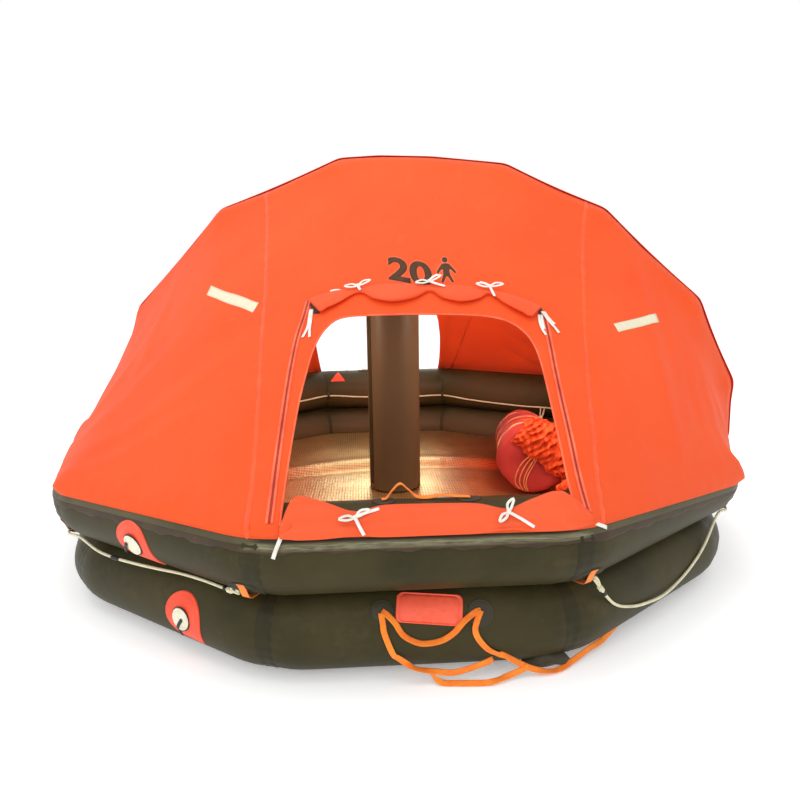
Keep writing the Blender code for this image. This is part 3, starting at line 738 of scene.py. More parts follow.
def cut_doorway(panel):
    """Cuts the doorway through the panel, straight in from the front."""
    nothing_selected()
    bpy.ops.mesh.primitive_circle_add(vertices=len(door_line), fill_type="NGON")
    punch = started("doorway_punch")
    for vertex, (x, z) in zip(punch.data.vertices, door_line):
        vertex.co = (x, PUNCH_FROM, z)
    bpy.ops.object.mode_set(mode="EDIT")
    bpy.ops.mesh.select_all(action="SELECT")
    bpy.ops.mesh.extrude_region_move(TRANSFORM_OT_translate={"value": (0, PUNCH_DEEP, 0)})
    bpy.ops.mesh.select_all(action="SELECT")
    bpy.ops.mesh.normals_make_consistent(inside=False)
    bpy.ops.object.mode_set(mode="OBJECT")
    hole = panel.modifiers.new("doorway", "BOOLEAN")
    hole.operation, hole.solver, hole.object = "DIFFERENCE", "EXACT", punch
    apply_all(panel)
    bpy.data.objects.remove(punch, do_unlink=True)


def dressed(half, obj, material, slot, *nodes):
    """Finishes a piece made for the front, or turned half round the raft for the rear."""
    if half == "rear":
        obj.data.transform(Matrix.Rotation(math.pi, 4, "Z"))
    return finished(obj, material, slot, *nodes)


def sewn_area(grid):
    """The cloth's area in square metres."""
    corners = np.cross(np.diff(grid, axis=0)[:, :-1], np.diff(grid, axis=1)[:-1])
    return float(np.linalg.norm(corners, axis=-1).sum())


def cut_size(area, wide, long):
    """The width and length that a cloth of this area is cut to, for these proportions."""
    return round(math.sqrt(area * wide), 2), round(math.sqrt(area * long), 2)


cloths, skins = {}, {}
for half, (ridge, arch_under) in HALVES.items():
    cloth, lines = canopy_half(ridge, arch_under)
    cloths[half] = cloth = creased(cloth, lines, FOLDS)
    whole = grid_mesh("whole", cloth)
    faces = [tuple(face.vertices) for face in whole.data.polygons]
    skins[half] = BVHTree.FromPolygons([vertex.co for vertex in whole.data.vertices], faces)
    bpy.data.objects.remove(whole, do_unlink=True)
    sides = {"left": (0, lines[3]), "door": (lines[3], lines[4]), "right": (lines[4], lines[6])}
    for side, (start, end) in sides.items():
        panel = grid_mesh(f"canopy_{half}_{side}_cloth", cloth[start:end + 1])
        wall(panel, CLOTH_THICK)
        nodes = [f"canopy_{half}_{side}"]
        if side == "door":
            cut_doorway(panel)
            nodes = [f"canopy_{half}_header", f"canopy_{half}_doorway"]
        dressed(half, panel, canopy_cloth, "canopy_fabric", *nodes)
        size = sewn_area(cloth[start:end + 1])
        if side == "door":
            size -= DOORWAY_AREA
        flat = cut_size(size, 0.8, 1.5)


# Canopy seams
# The panels meet in lapped seams with a flat cover strip, and a wider strip runs over the arch
# where the two halves are sewn together. They are stitched and glued.
def lay_on(half, x, z, lift=0.0):
    """The cloth's outer face at a place seen from in front, and its outward direction."""
    spot, normal, _, _ = skins[half].ray_cast(Vector((x, -3, z)), Vector((0, 1, 0)))
    normal = -normal if normal.y > 0 else normal
    return np.array(spot + normal * (CLOTH_THICK + lift)), np.array(normal)


def lay_line(half, places, lift=0.0):
    laid = [lay_on(half, x, z, lift) for x, z in places]
    return np.array([spot for spot, _ in laid]), np.array([normal for _, normal in laid])


def ribbon(name, line, ups, width, thick, columns=3, bulge=0.0):
    """A flat band along the line, its outer face turned the way of ups."""
    line, ups = np.asarray(line, float), np.broadcast_to(ups, np.shape(line)).astype(float)
    side, ups = unit(np.cross(np.gradient(line, axis=0), ups)), unit(ups)
    across = np.linspace(-0.5, 0.5, columns)[:, None, None]
    width = np.broadcast_to(width, len(line))[None, :, None]
    grid = line[None] + side[None] * across * width + ups[None] * bulge * (1 - 4 * across ** 2)
    band = grid_mesh(name, grid)
    wall(band, thick)
    return band


def cloth_finish(name, colour, deep, weave_step=0.0009, rough=0.6, crumple=0.002, over=None):
    """Plain woven tape or cloth with soft stains."""
    made = Finish(name, Sheen_Weight=0.1, Specular_IOR_Level=0.3)
    where = made.place()
    stain = made.noise(where, 12.0, 4, 0.6)
    threads = made.bump(made.weave(made.laid(), weave_step), 0.0003, 0.4)
    soft = made.bump(made.noise(where, 45.0, 3), crumple, 0.4, threads)
    tint = made.mix(made.between(stain, 0.35, 0.7), colour, deep)
    if over:
        tint = over(made, tint)
    return made.done(colour=tint, roughness=stain * 0.2 + (rough - 0.1), normal=soft)


seam_cloth = cloth_finish("seam_cloth", (0.94, 0.098, 0.016), (0.84, 0.074, 0.012))
SEAM_WIDE, RIDGE_TAPE_WIDE, RIDGE_TAPE_LOW = 0.022, 0.048, 0.54
for half, cloth in cloths.items():
    normals, strips = facing(cloth), []
    for column in (lines[3], lines[4]):
        outer = cloth[column] + normals[column] * CLOTH_THICK
        strips.append(ribbon("seam", outer, normals[column], SEAM_WIDE, 0.0012))
    dressed(half, joined(f"canopy_{half}_seams", strips), seam_cloth, "canopy_fabric")
shown = ridge_line[:, 1] > RIDGE_TAPE_LOW
taped, taped_ups = ridge_line[shown][::3], -ridge_inwards[shown][::3]
cover = ribbon(
    "canopy_ridge_tape", in_arch_plane(taped + taped_ups * 0.0022), in_arch_plane(taped_ups),
    RIDGE_TAPE_WIDE, 0.0014, 7, -0.0016,
)
finished(cover, seam_cloth, "canopy_fabric")


# Hem tape
# The canopy's edge is glued to the upper tube under a band of olive cloth, with a dark band below
# it.
def painted_front_highlight(made, colour):
    """A dark line just under the hem, and below it a streaky pale band that is a painted highlight of the
    glossy rubber, along the front side only.
    """
    where = made.place()
    up = made.part(where, 2)
    front = made.between(made.part(where, 1) * -1, 1.798, 1.812)
    drawn_out = made.node("Mapping", sockets={0: where, 3: (6.0, 1.0, 90.0)})
    streaks = made.between(made.noise(drawn_out, 3.0, 4, 0.6), 0.36, 0.60)
    colour = made.mix(front * made.between(up, 0.572, 0.580), colour, (0.026, 0.023, 0.012))
    # Painted highlight: the streaky pale band stands for the sky reflected in the glossy rubber below the
    # hem.
    band = made.between(up, 0.546, 0.558) * (1 - made.between(up, 0.568, 0.576))
    return made.mix(front * band * (streaks * 0.7 + 0.2), colour, (0.23, 0.225, 0.135))


hem_tape_rubber = rubber(
    "hem_tape_rubber", (0.066, 0.056, 0.028), (0.100, 0.085, 0.044), (0.17, 0.15, 0.09), painted_front_highlight
)
dark_hem_margin = cloth_finish(
    "dark_margin", (0.040, 0.024, 0.011), (0.066, 0.038, 0.017), 0.0012, 0.75, over=painted_front_highlight
)
HEM_BANDS = [
    # (name, upper and lower edge in degrees from the hem, how ragged the lower one is, thickness, finish)
    ("hem_tape", 2.0, -8.5, 0, 0.0016, hem_tape_rubber),
    ("dark_margin", -7.0, -17, 1, 0.0006, dark_hem_margin),
]
for half in HALVES:
    places = around(np.linspace(HEM[0][0], HEM[-1][0], 260))
    rows = np.linspace(0, 1, 5)
    wander = 1.5 * np.sin(places * 31) + 1.0 * np.sin(places * 77 + 1)
    for name, top, low, ragged, thick, finish in HEM_BANDS:
        edge = (low + ragged * wander)[:, None]
        angles = hem_angle(places)[:, None] + edge * (1 - rows) + top * rows
        band = grid_mesh(f"{half}_{name}", on_tube("upper", places[:, None], angles, 0.0020))
        wall(band, thick)
        dressed(half, band, finish, "tube_rubber")


# Floor
# The inflated floor lies between the tubes. Its top is cloth laminated with gold foil with a fine grid of
# threads, and it reflects the canopy in broad creases; its right side is also painted red for that
# reflection.
def foil(name):
    made = Finish(name, Metallic=0.88, Specular_IOR_Level=0.5)
    where = made.place()
    across, along = made.part(where, 0), made.part(where, 1)
    threads = made.between(made.wave(across * (math.pi / 0.017)) ** 8, 0.3, 1.0)
    rows = made.between(made.wave(along * (math.pi / 0.030)) ** 8, 0.3, 1.0)
    grid = made.maths("MAXIMUM", threads, rows)
    patchy = made.between(made.noise(where, 5.0, 4, 0.6), 0.38, 0.62)
    stain = made.noise(where, 3.2, 5, 0.6)
    tint = made.mix(made.between(stain, 0.3, 0.7), (0.98, 0.78, 0.36), (0.84, 0.54, 0.20))
    # Painted reflection: the foil turns deep red towards the right, standing for the canopy reflected in it.
    painted_red_reflection = made.between(across, 0.15, 0.75)
    tint = made.mix(painted_red_reflection * 0.75, tint, (0.62, 0.16, 0.06))
    tint = made.mix(grid * (patchy * 0.6 + 0.25), tint, (0.24, 0.14, 0.05))
    lines_out = made.bump(grid, 0.0010, 0.5)
    across_streaks = made.node("Mapping", sockets={0: where, 3: (45.0, 8.0, 1.0)})
    streaks = made.bump(made.noise(across_streaks, 1.0, 4, 0.6), 0.003, 0.45, lines_out)
    crinkle = made.bump(made.noise(where, 14.0, 4, 0.6), 0.006, 0.35, streaks)
    return made.done(colour=tint, roughness=stain * 0.20 + 0.24, normal=crinkle)


FLOOR_APOTHEM, FLOOR_LOW, FLOOR_TOP = 1.468, 0.060, 0.160
FLOOR_SQUARES, EDGE_ROUND = 170, 0.045
nothing_selected()
bpy.ops.mesh.primitive_grid_add(
    x_subdivisions=FLOOR_SQUARES, y_subdivisions=FLOOR_SQUARES, size=3.2, location=(0, 0, FLOOR_TOP)
)
mattress = started("floor_mattress")
bpy.ops.object.mode_set(mode="EDIT")
for side in range(10):
    outwards = out_way(36 * side)
    bpy.ops.mesh.select_all(action="SELECT")
    bpy.ops.mesh.bisect(
        plane_co=tuple(outwards * FLOOR_APOTHEM), plane_no=tuple(outwards), clear_outer=True
    )
bpy.ops.mesh.select_all(action="SELECT")
bpy.ops.mesh.extrude_region_move(TRANSFORM_OT_translate={"value": (0, 0, FLOOR_LOW - FLOOR_TOP)})
bpy.ops.mesh.select_all(action="SELECT")
bpy.ops.mesh.normals_make_consistent(inside=False)
bpy.ops.object.mode_set(mode="OBJECT")
for vertex in mattress.data.vertices:
    x, y, z = vertex.co
    place = around(np.array(math.degrees(math.atan2(x, -y))))
    side = math.radians(36 * math.floor(float(place) + 0.5))
    from_edge = FLOOR_APOTHEM - (x * math.sin(side) - y * math.cos(side))
    round_off = max(0.0, 1 - from_edge / EDGE_ROUND)
    if z > FLOOR_TOP - 0.01:
        fold = 0.56 - 0.28 * (x - 0.1) ** 2
        swell = 0.0012 * math.sin(17 * y + 1.3 * math.sin(3 * x)) + 0.0012 * math.sin(8 * x + 5 * y)
        swell += 0.022 * bell(y, fold, 0.10) - 0.016 * bell(y, fold - 0.15, 0.06)
        vertex.co.z = z - 0.036 * round_off ** 2 + swell
    else:
        vertex.co.z = z + 0.030 * round_off ** 2
mattress.data.shade_smooth()
finished(mattress, foil("gold_foil"), "floor_foil", "floor")


# Centre column
# An inflated upright tube of the same dark cloth holds up the middle of the arch. It has a seam
# tape down its side and puckered ends.
COLUMN = [
    # (radius, height) up the column
    (0.010, 0.168), (0.130, 0.168), (0.150, 0.172), (0.157, 0.185), (0.1585, 0.230), (0.1585, 1.00),
    (0.1585, 1.700), (0.156, 1.745), (0.145, 1.785), (0.118, 1.812), (0.070, 1.828), (0.010, 1.832),
]
column_rings = spline(COLUMN, 90)
turns = full_turn(64)
wrinkle = bell(column_rings[:, 1], 0.20, 0.05) + bell(column_rings[:, 1], 1.72, 0.06)
radii = column_rings[:, :1] * (1 + 0.010 * wrinkle[:, None] * np.cos(turns * 19)[None])
grid = np.stack([
    radii * np.cos(turns), -radii * np.sin(turns), np.broadcast_to(column_rings[:, 1:], radii.shape)
], axis=-1)
column = grid_mesh("centre_column_cloth", grid, False, True)
closed_up(column)
finished(column, tube_rubber, "tube_rubber", "centre_column")
seam_out = side_way(205)
seam_line = seam_out * 0.159 + UP * np.linspace(0.20, 1.74, 40)[:, None]
column_tape = ribbon("centre_column_seam_tape", seam_line, seam_out, 0.04, 0.0014, 5, -0.0012)
finished(column_tape, tape_rubber, "tube_rubber")


# Doorway edges
# Each doorway has a bound edge, and a dark zip under a narrow storm strip runs down both sides of
# it, where the lower flap is closed to the canopy.
binding = cloth_finish("door_binding", (1.0, 0.175, 0.070), (0.85, 0.09, 0.03))
zip_dark = cloth_finish("zip_tape", (0.42, 0.022, 0.008), (0.28, 0.012, 0.006), rough=0.5)
ZIPS = [
    # (sideways, up) down each side of the doorway
    [(-0.434, 1.350), (-0.452, 1.280), (-0.478, 1.190), (-0.496, 1.060), (-0.508, 0.912),
     (-0.517, 0.765), (-0.519, 0.630)],
    [(0.640, 1.285), (0.640, 1.230), (0.634, 1.140), (0.627, 1.060), (0.618, 0.862), (0.610, 0.740),
     (0.603, 0.628)],
]
BINDING_LOW, STORM_STRIP_STEP = 0.615, 0.0095
for half in HALVES:
    line, _ = lay_line(half, door_line[door_line[:, 1] > BINDING_LOW], -0.001)
    rim = sweep(f"{half}_door_binding", line, 0.0042, 8)
    dressed(half, rim, binding, "canopy_fabric")
    zips, strips = [], []
    for places in ZIPS:
        line, normals = lay_line(half, spline(places, 60), 0.0003)
        zips.append(ribbon("zip", line, normals, 0.011, 0.0016))
        beside = unit(np.cross(np.gradient(line, axis=0), normals)) * STORM_STRIP_STEP
        for edge in (line - beside, line + beside):
            strips.append(ribbon("strip", edge, normals, 0.009, 0.0026, 3, 0.001))
    dressed(half, joined(f"{half}_door_zips", zips), zip_dark, "canopy_fabric")
    dressed(half, joined(f"{half}_zip_storm_strips", strips), binding, "canopy_fabric")


# Door flaps
# The upper flap is rolled up over each doorway and tied at three places, so it hangs in scallops
# with open ends. The lower flap is folded flat over the sill and tied at two places.
# Painted light: the flap cloth is a paler copy of the canopy cloth, lightened so that the rolled flaps do
# not look shaded.
lit_flap_cloth = fabric("lit_flap_cloth", (1.0, 0.150, 0.046), (0.97, 0.116, 0.032), (1.0, 0.24, 0.11))
# Painted shade: a dark cloth for the sheets that stand for the shade in the creases at the rolled flap's
# ends.
painted_shade_cloth = cloth_finish("flap_painted_shade", (0.060, 0.026, 0.014), (0.035, 0.016, 0.010), 0.0012, 0.7)
TOP_FLAP = [
    # (sideways, top edge, depth) along the rolled flap
    (-0.424, 1.344, 0.046), (-0.390, 1.362, 0.066), (-0.300, 1.386, 0.060), (-0.193, 1.404, 0.022),
    (-0.120, 1.409, 0.062), (-0.034, 1.413, 0.080), (0.060, 1.414, 0.062), (0.134, 1.412, 0.026),
    (0.190, 1.409, 0.058), (0.270, 1.405, 0.072), (0.350, 1.396, 0.050), (0.406, 1.388, 0.020),
    (0.470, 1.370, 0.052), (0.560, 1.336, 0.066), (0.632, 1.306, 0.042),
]
TOP_BOWS = (-0.193, 0.134, 0.406)
SILL_FLAP = [
    # (sideways, angle of its lower edge, of its upper edge, rise of its upper edge)
    (-0.476, 33, 50, 0.000), (-0.445, 32, 64, 0.040), (-0.410, 31, 68, 0.050), (-0.340, 31, 68, 0.028),
    (-0.224, 33, 62, 0.004), (-0.120, 31, 68, 0.006), (0.040, 31, 69, 0.004), (0.200, 31, 68, 0.002),
    (0.310, 34, 60, 0.002), (0.400, 31, 66, 0.016), (0.490, 31, 70, 0.036), (0.530, 32, 66, 0.026),
    (0.562, 34, 50, 0.000),
]
SILL_BOWS = (-0.224, 0.310)
HOLLOW = [
    # (share of the roll's section, how far in) at each end, from its middle to its rim
    (0.10, 0.050), (0.62, 0.045), (0.74, 0.004), (0.90, -0.001),
]
# Painted shade: dark sheets laid in the creases beside each end of the rolled flap stand for the shade
# there.
SHADOW_POCKETS = [
    # (sideways, up) of four corners in the creases beside each end of the rolled flap
    [(-0.428, 1.348), (-0.374, 1.297), (-0.402, 1.294), (-0.430, 1.298)],
    [(0.636, 1.308), (0.648, 1.272), (0.618, 1.260), (0.576, 1.262)],
]
REAR_SILL_HIGH = 46
section = full_turn(28)


def hollow_end(first, second):
    """Rings that turn the end of a roll in, so that it looks rolled and open."""
    centre, inwards = first.mean(axis=0), unit((second - first).mean(axis=0))
    return [centre + (first - centre) * share + inwards * depth for share, depth in HOLLOW]


def open_roll(name, rings):
    """The mesh of a roll from its sections, with hollow ends."""
    ends = hollow_end(rings[0], rings[1]), hollow_end(rings[-1], rings[-2])[::-1]
    grid = np.concatenate([ends[0], rings, ends[1]])
    return grid_mesh(name, grid[:, ::-1], False, True)


def gather(x, bows):
    """From 0 between the ties to 1 at a tie."""
    return bell(np.min(np.abs(x[:, None] - np.array(bows)[None]), axis=1), 0, 0.045)


def side_place(tube, side, along):
    """The place on a tube's sides that is this many metres from the middle of one."""
    return side + np.asarray(along, float) / (2 * HALF_SIDE * TUBES[tube][0])


def quilt(low_start, low_end, high_start, high_end, rows, columns):
    """A grid of points between two straight edges."""
    long = np.linspace(0, 1, rows)[:, None, None]
    wide = np.linspace(0, 1, columns)[None, :, None]
    low = np.array(low_start) * (1 - long) + np.array(low_end) * long
    high = np.array(high_start) * (1 - long) + np.array(high_end) * long
    return low * (1 - wide) + high * wide


for half in HALVES:
    stations = spline(TOP_FLAP, 150)
    tied = gather(stations[:, 0], TOP_BOWS)
    rings = []
    for (x, top, deep), pinch in zip(stations, tied):
        lean = np.interp(x, (-0.424, -0.34, 0.54, 0.632), (0.052, 0, 0, -0.056))
        high, normal = lay_on(half, x, top)
        low, _ = lay_on(half, x + lean, top - deep)
        ups, centre = (high - low) / 2, (high + low) / 2
        thick = 0.19 * np.linalg.norm(ups) + 0.005
        folds = 1 + 0.10 * pinch * np.cos(7 * section) + 0.035 * np.cos(5 * section + 9 * x)
        sag = 0.10 * np.linalg.norm(ups) * np.maximum(0, -np.cos(section))
        ring = centre + np.outer(np.cos(section) * folds, ups)
        ring += np.outer(thick * (1 + np.sin(section) * folds) + sag, normal)
        rings.append(ring)
    roll = open_roll(f"{half}_top_flap", rings)
    dressed(half, roll, lit_flap_cloth, "canopy_fabric", f"{half}_top_flap_roll")
    stations = spline(SILL_FLAP, 150)
    tied = gather(stations[:, 0], SILL_BOWS)
    rings = []
    for (x, low, high, rise), pinch in zip(stations, tied):
        if half == "rear":
            high, rise = min(high, REAR_SILL_HIGH), 0.0
        angle = (low + high) / 2 + (high - low) / 2 * np.cos(section)
        thick = 0.013 * (1 - 0.35 * pinch)
        folds = 1 + 0.16 * np.cos(6 * section + 4 * x) + 0.20 * pinch * np.cos(9 * section)
        lift = 0.0066 + thick * (1 + np.sin(section)) * folds
        ring = on_tube("upper", side_place("upper", 0, x), angle, lift)
        ring[:, 2] += rise * np.maximum(0, np.cos(section)) ** 1.3
        rings.append(ring)
    band = open_roll(f"{half}_sill_flap", rings)
    dressed(half, band, lit_flap_cloth, "canopy_fabric", f"{half}_sill_roll")
    pockets = []
    for corners in SHADOW_POCKETS:
        a, b, c, d = (np.array(corner) for corner in corners)
        spots, _ = lay_line(half, quilt(a, b, a * 0.7 + d * 0.3, c, 9, 9).reshape(-1, 2), 0.0035)
        pockets.append(grid_mesh("pocket", spots.reshape(9, 9, 3)))
        wall(pockets[-1], 0.001)
    dressed(half, joined(f"{half}_flap_shadow_pockets", pockets), painted_shade_cloth, "canopy_fabric")


# Flap ties
# White cotton tapes are sewn to the canopy and tied in bows round the rolled flaps. Loose ones
# hang at the ends.
tie_tape = cloth_finish("tie_tape", (0.86, 0.85, 0.80), (0.70, 0.67, 0.58), 0.0007, 0.7, 0.001)
TIE_WIDE, TIE_THICK = 0.012, 0.0012


def bow(centre, outwards, size, lean, tails):
    """A tape bow: two loops, a knot and the tails, given as (sideways, down) steps."""
    outwards = unit(outwards)
    level = np.array([1.0, 0, 0])
    level = unit(level - outwards * np.dot(level, outwards))
    steep = np.cross(outwards, level)
    right = level * math.cos(lean) + steep * math.sin(lean)
    up = steep * math.cos(lean) - level * math.sin(lean)

    def line_through(steps, count):
        """A line by its steps to the right, up and outwards from the knot."""
        return spline([centre + right * x + up * y + outwards * z for x, y, z in steps], count)

    bits = []
    for hand, rise in ((-1, 0.10), (1, 0.22)):
        loop = line_through([
            (0, 0, 0), (hand * size * 0.45, size * (rise + 0.13), 0.006), (hand * size, size * rise, 0.009),
            (hand * size * 0.5, size * (rise - 0.17), 0.004), (0, 0, 0),
        ], 26)
        bits.append(ribbon("loop", loop, outwards, TIE_WIDE * 0.8, TIE_THICK))
    for sideways, down in tails:
        tail = line_through([
            (0, 0, 0.004), (sideways * 0.4, -down * 0.5, 0.006), (sideways, -down, 0.003)
        ], 14)
        bits.append(ribbon("tail", tail, outwards, TIE_WIDE, TIE_THICK))
    nothing_selected()
    bpy.ops.mesh.primitive_uv_sphere_add(
        segments=12, ring_count=8, radius=0.0085, location=centre + outwards * 0.004
    )
    knot = started("knot")
    knot.data.shade_smooth()
    bits.append(knot)
    return bits


def over_tube(tube, place, angle, clear):
    """Points over a tube's surface, and the steps of 0.1 m outwards from them."""
    spots = on_tube(tube, place, angle, clear)
    return spots, on_tube(tube, place, angle, np.asarray(clear) + 0.1) - spots


TOP_TIES = [
    # (sideways, lean, tails) of each bow round the rolled flap
    (-0.193, 0.03, [(0.01, 0.035)]), (0.134, 0.20, [(0.06, 0.055), (0.05, -0.03)]),
    (0.406, -0.10, [(0.02, 0.065), (-0.045, -0.025)]),
]
SILL_TIES = [(-0.224, 0.25, [(0.012, 0.075), (0.09, -0.01)]), (0.310, 0.9, [(0.0, 0.10)])]
SILL_TIE_UP = {"front": 52, "rear": 30}
END_TIES = [
    # (sideways, up) down each loose tape on the canopy
    [(-0.421, 1.312), (-0.425, 1.275), (-0.429, 1.240), (-0.441, 1.212), (-0.452, 1.194)],
    [(-0.412, 1.312), (-0.416, 1.265), (-0.420, 1.225), (-0.418, 1.196)],
    [(0.616, 1.278), (0.612, 1.245), (0.616, 1.215), (0.626, 1.194)],
    [(0.628, 1.276), (0.624, 1.242), (0.624, 1.218)],
    [(0.634, 1.292), (0.654, 1.255), (0.676, 1.224), (0.690, 1.200)],
    [(0.644, 1.290), (0.662, 1.258), (0.680, 1.236)],
    [(-0.330, 1.392), (-0.305, 1.398), (-0.280, 1.396)],
]
SILL_END_TIES = [
    # (sideways, degrees up round the upper tube) down each loose tape at the sill's ends
    [(-0.462, 55), (-0.468, 44), (-0.476, 33), (-0.484, 22), (-0.490, 12)],
    [(0.520, 58), (0.540, 48), (0.560, 40), (0.584, 31), (0.600, 26)],
]
for half in HALVES:
    bits = []
    for x, lean, tails in TOP_TIES:
        spot, normal = lay_on(half, x, 1.424 - 0.10 * abs(x - 0.05), 0.026)
        bits += bow(spot, normal, 0.062, lean, tails)
    for places in END_TIES:
        line, normals = lay_line(half, spline(places, 22), 0.004)
        bits.append(ribbon("tie", line, normals, TIE_WIDE, TIE_THICK))
    for x, lean, tails in SILL_TIES:
        spot, out = over_tube("upper", side_place("upper", 0, x), SILL_TIE_UP[half], 0.030)
        bits += bow(spot, out, 0.055, lean, tails)
    for places in SILL_END_TIES:
        steps = spline(places, 22)
        line, out = over_tube("upper", side_place("upper", 0, steps[:, 0]), steps[:, 1], 0.009)
        bits.append(ribbon("tie", line, out, TIE_WIDE * 1.2, 0.0014))
    dressed(half, joined(f"{half}_flap_ties", bits), tie_tape, "webbing")


# Markings
# The number of people that the raft carries and a standing figure are printed over each doorway
# in dark ink, a little smudged at their edges.
def ink(name, dark, light):
    made = Finish(name, Specular_IOR_Level=0.2)
    where = made.place()
    worn = made.between(made.noise(where, 60.0, 5, 0.7), 0.45, 0.75)
    return made.done(colour=made.mix(worn * 0.4, dark, light), roughness=worn * 0.2 + 0.6)


marking_ink = ink("marking_ink", (0.060, 0.030, 0.012), (0.30, 0.05, 0.02))
marking_rim = ink("marking_rim", (0.90, 0.16, 0.065), (1.0, 0.2, 0.09))
FIGURE = [
    # (sideways, up) round the right half of the standing figure, from its neck to its fork
    (0.007, 0.088), (0.018, 0.085), (0.030, 0.070), (0.047, 0.046), (0.040, 0.039), (0.021, 0.060),
    (0.015, 0.058), (0.016, 0.036), (0.030, 0.001), (0.019, -0.002), (0.004, 0.026),
]
NUMBER_LEFT, NUMBER_WIDE, NUMBER_LOW, NUMBER_HIGH, NUMBER_FALL = -0.052, 0.205, 1.445, 0.115, 0.20
FIGURE_PLACE = (0.222, 1.430)
INK_SWELL, RIM_SWELL = 0.007, 0.011


def print_on(half, obj, lift):
    """Lays a flat drawing, whose x and y are sideways and up, on the canopy."""
    nothing_selected()
    mesh = bmesh.new()
    mesh.from_mesh(obj.data)
    bmesh.ops.triangulate(mesh, faces=mesh.faces[:])
    long_edges = [edge for edge in mesh.edges if edge.calc_length() > 0.02]
    bmesh.ops.subdivide_edges(mesh, edges=long_edges, cuts=1)
    mesh.to_mesh(obj.data)
    mesh.free()
    for vertex in obj.data.vertices:
        vertex.co, _ = lay_on(half, vertex.co.x, vertex.co.y, lift)
    wall(obj, 0.0004)
    return obj


def number(swell):
    """The number as a flat drawing, drawn out to its place and swollen by this much."""
    nothing_selected()
    text = bpy.data.curves.new("number", "FONT")
    text.body, text.size, text.offset, text.resolution_u = "20", 0.2, swell, 6
    obj = bpy.data.objects.new("number", text)
    bpy.context.scene.collection.objects.link(obj)
    obj.select_set(True)
    bpy.context.view_layer.objects.active = obj
    bpy.ops.object.convert(target="MESH")
    obj = bpy.context.object
    spots = np.array([vertex.co[:] for vertex in obj.data.vertices])
    low, high = spots.min(axis=0), spots.max(axis=0)
    grow = swell - INK_SWELL
    for vertex, spot in zip(obj.data.vertices, spots):
        u = (spot[0] - low[0]) / (high[0] - low[0])
        v = (spot[1] - low[1]) / (high[1] - low[1])
        x = NUMBER_LEFT - grow + u * (NUMBER_WIDE + 2 * grow)
        y = NUMBER_LOW - grow - NUMBER_FALL * (x - NUMBER_LEFT) + v * (NUMBER_HIGH + 2 * grow)
        vertex.co = (x, y, 0)
    return obj


def oval(wide, high, count=40):
    """A round outline."""
    turn = full_turn(count)
    return np.stack([np.cos(turn) * wide, np.sin(turn) * high], axis=1)


def figure(swell):
    """The standing figure as a flat drawing, swollen by this much."""
    outline = np.array(FIGURE + [(-x, y) for x, y in reversed(FIGURE)])
    run = np.roll(outline, -1, axis=0) - np.roll(outline, 1, axis=0)
    outline = outline + unit(np.stack([-run[:, 1], run[:, 0]], axis=1)) * swell
    head = oval(0.0135 + swell, 0.0135 + swell, 24) + (0, 0.105)
    mesh = bmesh.new()
    for ring in (outline, head):
        mesh.faces.new([mesh.verts.new((x + FIGURE_PLACE[0], y + FIGURE_PLACE[1], 0)) for x, y in ring])
    made = bpy.data.meshes.new("figure")
    mesh.to_mesh(made)
    mesh.free()
    obj = bpy.data.objects.new("figure", made)
    bpy.context.scene.collection.objects.link(obj)
    return obj


for half in HALVES:
    rims = [print_on(half, number(RIM_SWELL), 0.0006), print_on(half, figure(0.004), 0.0006)]
    dressed(half, joined(f"{half}_marking_rims", rims), marking_rim, "canopy_fabric")
    signs = [print_on(half, number(INK_SWELL), 0.0012), print_on(half, figure(0.0), 0.0012)]
    dressed(half, joined(f"{half}_markings", signs), marking_ink, "canopy_fabric")


# Reflective tapes
# Pale strips on the canopy throw back a searchlight. They are glued on at the sides of each
# doorway.
retro = Finish("reflective_tape", Specular_IOR_Level=0.6, Coat_Weight=0.3, Coat_Roughness=0.2)
retro_cells = retro.node("TexVoronoi", sockets={"Vector": retro.place(), "Scale": 380.0})
retro.done(
    colour=retro.mix(retro.noise(retro.place(), 30.0, 4), (0.78, 0.72, 0.50), (0.66, 0.60, 0.42)),
    roughness=retro_cells * 0.2 + 0.3, normal=retro.bump(retro_cells, 0.0004, 0.5),
)
RETRO = [
    # corners of each tape: the upper edge from left to right, then the lower one from right to left
    [(-1.021, -0.322, 1.459), (-0.707, -0.679, 1.372), (-0.732, -0.721, 1.330), (-1.040, -0.373, 1.411)],
    [(0.999, -0.972, 1.249), (1.281, -0.784, 1.273), (1.290, -0.813, 1.233), (1.014, -0.998, 1.212)],
]
for half in HALVES:
    strips = []
    for corners in RETRO:
        a, b, c, d = corners
        grid = quilt(d, c, a, b, 24, 5)
        for i, j in np.ndindex(grid.shape[:2]):
            spot, normal, _, _ = skins[half].find_nearest(Vector(grid[i, j]))
            normal = -normal if normal.dot(spot - Vector((0, 0, 0.5))) < 0 else normal
            grid[i, j] = spot + normal * (CLOTH_THICK + 0.0005)
        strip = grid_mesh("strip", grid)
        wall(strip, 0.0006)
        strips.append(strip)
    dressed(half, joined(f"{half}_reflective_tapes", strips), retro.material, "canopy_fabric")


# Valves
# Each tube has a filling valve: a pale moulded disc on a teardrop patch of orange-red cloth, set on a
# black ring that is painted shade round its edge. A black rubber strap keeps its cap.
PAD = [
    # (share of the outline, height over the tube)
    (0.004, 0.0030), (0.30, 0.0030), (0.60, 0.0030), (0.84, 0.0030), (0.875, 0.0022), (0.91, 0.0030),
    (0.955, 0.0036), (0.985, 0.0026), (1.0, -0.0005),
]


